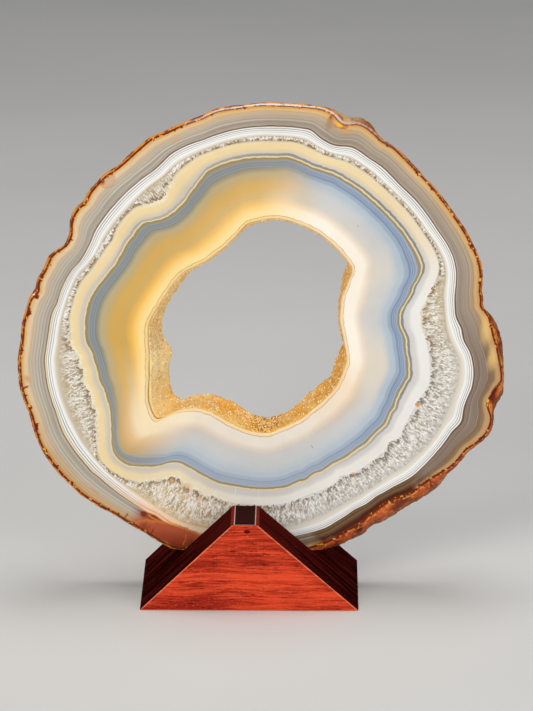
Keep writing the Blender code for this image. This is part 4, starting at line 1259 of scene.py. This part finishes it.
def wood():
    """Red wood: streaks and open pores along X. The end faces are matt and bright, with a pale
    painted highlight along their eased edges. The sloping and top faces are dark, partly the
    polished wood's own colour and partly painted shade, with painted glints on the slopes and a
    painted reflection round the top."""
    made, shader, tree = new_material("red padauk wood", specular=0.0)
    place = tree.place()
    x, y, z = tree.parts(place)
    bend = tree.swing(tree.stretched(place, (25, 25, 60)), 3 * MM, 0.0, 1.0)
    bent = tree.along("ADD", place, tree.vector(0.0, 0.0, bend))
    streaks = tree.stretched(bent, (24, 420, 560), 6, 0.68)
    broad = tree.stretched(bent, (24, 60, 110), 3, 0.55)
    pores = tree.stretched(place, (240, 2000, 2200), 1)
    pore = tree.times(tree.span(pores, 0.60, 0.68), tree.span(broad, 0.60, 0.40, 0.35, 1.0))
    fibres = tree.stretched(bent, (70, 1000, 1500), 2, 0.6)
    share = tree.maths("MULTIPLY_ADD", broad, 0.4, tree.times(streaks, 0.4))
    share = tree.maths("MULTIPLY_ADD", fibres, 0.3, share)
    matt = tree.over("wood_shade", "wood_bright", share, 0.45, 0.63)
    matt = tree.mix(tree.times(pore, 0.85), matt, "wood_pore")
    fleck = tree.stretched(place, (700, 2600, 2600), 1)
    matt = tree.over(matt, "wood_fleck_and_edge_highlight", fleck, 0.62, 0.7, 0.35)
    knot = tree.along("DIVIDE", tree.along("SUBTRACT", place, KNOT_PLACE), KNOT_SIZE)
    knot = tree.along("LENGTH", knot, output="Value")
    matt = tree.over(matt, "wood_pore", knot, 1.2, 0.6, 0.9)
    right, left = slope_distance(tree, x, z, TOP_RIGHT), slope_distance(tree, x, z, TOP_LEFT)
    edge = tree.maths("MINIMUM", tree.maths("MINIMUM", right, left), z)
    # Painted highlight: a pale line along the eased edges of the end faces, broken along the grain
    edge_highlight_breakup = tree.span(streaks, 0.35, 0.6, 0.4, 0.9)
    matt = tree.over(matt, "wood_fleck_and_edge_highlight", edge, 0.55 * MM, 0.2 * MM, mask=edge_highlight_breakup)

    # The slopes and top: a near-black colour, partly the polished wood's own and partly painted
    # shade
    grain = tree.stretched(place, (30, 420, 30), 4, 0.65)
    dark = tree.over("wood_polished_and_shaded", "wood_glow", grain, 0.42, 0.7)
    # Painted light: the slopes lighter towards the top
    dark = tree.over(dark, "wood_glow", z, 0.014, 0.034, 0.35)
    # Painted highlights: pale glints on the slopes
    dark = tree.over(dark, "wood_painted_sheen", pores, 0.76, 0.80, 0.5)
    # The top face: painted shade, a pale line round it for the painted reflection of its eased
    # edges, and a red band at the very edge
    on_top = tree.span(z, BLOCK_HEIGHT - 0.6 * MM, BLOCK_HEIGHT - 0.3 * MM)
    side = tree.maths("MINIMUM", tree.maths("SUBTRACT", TOP_RIGHT, x),
                      tree.maths("SUBTRACT", x, TOP_LEFT))
    end_off = tree.maths("SUBTRACT", STAND_HIGH[1], tree.maths("ABSOLUTE", y))
    rim = tree.maths("MINIMUM", side, end_off)
    top = tree.mix(line_at(tree, rim, 1.0 * MM, 0.3 * MM), "wood_top", "wood_painted_sheen")
    top = tree.over(top, "wood_frame", rim, 0.9 * MM, 0.6 * MM)
    dark = tree.mix(on_top, dark, top)

    end = tree.span(end_off, 0.5 * MM, 0.3 * MM)
    tree.feed(shader.inputs["Base Color"], tree.mix(end, dark, matt))
    gloss = tree.maths("MULTIPLY_ADD", end, 0.4, tree.span(on_top, 0.0, 1.0, 0.14, 0.09))
    tree.feed(shader.inputs["Roughness"], gloss)
    relief = tree.maths("SUBTRACT", streaks, pore)
    tree.feed(shader.inputs["Normal"], tree.bump(relief, 0.25, 0.3 * MM))
    return made


def floor_finish():
    """Pale matt studio floor with a barely visible mottle."""
    made, shader, tree = new_material("pale studio floor", specular=0.2)
    mottle = tree.noise(tree.place(), 3.0, detail=4)
    tree.feed(shader.inputs["Base Color"],
              tree.over("floor", "floor_mottle", mottle, 0.3, 0.7, 0.4))
    shader.inputs["Roughness"].default_value = 0.8
    return made


# The stage

FLOOR_REACH = 4.0
AIM = (0.0, 0.0, 0.1)
WARM_WHITE, WHITE, PALE_BLUE = (1.0, 0.98, 0.95), (1.0, 1.0, 1.0), (0.92, 0.94, 1.0, 1.0)
# Name, place, size in metres, power in watts and colour of each soft light
LIGHTS = [
    ("key", (-0.9, -1.5, 0.9), 0.9, 18.0, WARM_WHITE),
    ("fill", (1.0, -1.3, 0.35), 1.0, 11.5, WHITE),
    ("top", (0.1, 0.1, 1.4), 0.7, 8.5, WHITE),
]
SURROUNDING_LIGHT = 0.12


def make_floor():
    """A large pale floor that the block stands on."""
    corners = [(x * FLOOR_REACH, y * FLOOR_REACH, 0)
               for x, y in ((-1, -1), (1, -1), (1, 1), (-1, 1))]
    mesh = bpy.data.meshes.new("floor")
    mesh.from_pydata(corners, [], [(0, 1, 2, 3)])
    floor = bpy.data.objects.new("floor", mesh)
    bpy.context.scene.collection.objects.link(floor)
    mesh.materials.append(floor_finish())


def make_light(name, place, size, power, colour):
    """A square area light at a place, turned to face the slice."""
    light = bpy.data.lights.new(name, "AREA")
    light.size = size
    light.energy = power
    light.color = colour
    lamp = bpy.data.objects.new(name, light)
    bpy.context.scene.collection.objects.link(lamp)
    way = np.array(AIM) - np.array(place)
    lamp.location = place
    lamp.rotation_euler = (math.atan2(math.hypot(way[0], way[1]), -way[2]), 0.0,
                           math.atan2(-way[0], way[1]))


def make_studio():
    """Soft light from both sides of the camera and from above, on a pale surrounding."""
    for light in LIGHTS:
        make_light(*light)
    world = bpy.data.worlds.new("studio")
    world.use_nodes = True
    background = world.node_tree.nodes["Background"]
    background.inputs["Color"].default_value = PALE_BLUE
    background.inputs["Strength"].default_value = SURROUNDING_LIGHT
    bpy.context.scene.world = world
    bpy.context.scene.view_settings.view_transform = "Standard"


def make_camera():
    """The photograph's camera: a long lens, looking down and slightly left."""
    data = bpy.data.cameras.new("camera")
    data.sensor_fit = "VERTICAL"
    data.sensor_height = FILM_HEIGHT
    data.lens = CAMERA_LENS
    camera = bpy.data.objects.new("camera", data)
    bpy.context.scene.collection.objects.link(camera)
    camera.location = CAMERA_PLACE
    camera.rotation_euler = (math.radians(90 - CAMERA_DOWN), 0.0, math.radians(CAMERA_LEFT))
    bpy.context.scene.camera = camera


def dress(piece, finish, node):
    """Give a piece its finish, hang it under the root body and hide the solid that it stands for.
    """
    piece.data.materials.append(finish)
    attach(piece, "root")
    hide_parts(node)


def main():
    """Make every piece, dress it and set the stage."""
    grains = mineral_grains()
    dress(make_slice(), agate(grains), "agate_slice")
    bed_radii, bed_depth, bed = make_crust()
    crystal_finish = druse(grains)
    dress(bed, crystal_finish, "druse_crust")
    dress(make_crystals(bed_radii, bed_depth), crystal_finish, "druse_crust")
    dress(make_block(), wood(), "stand")
    make_floor()
    make_studio()
    make_camera()


main()
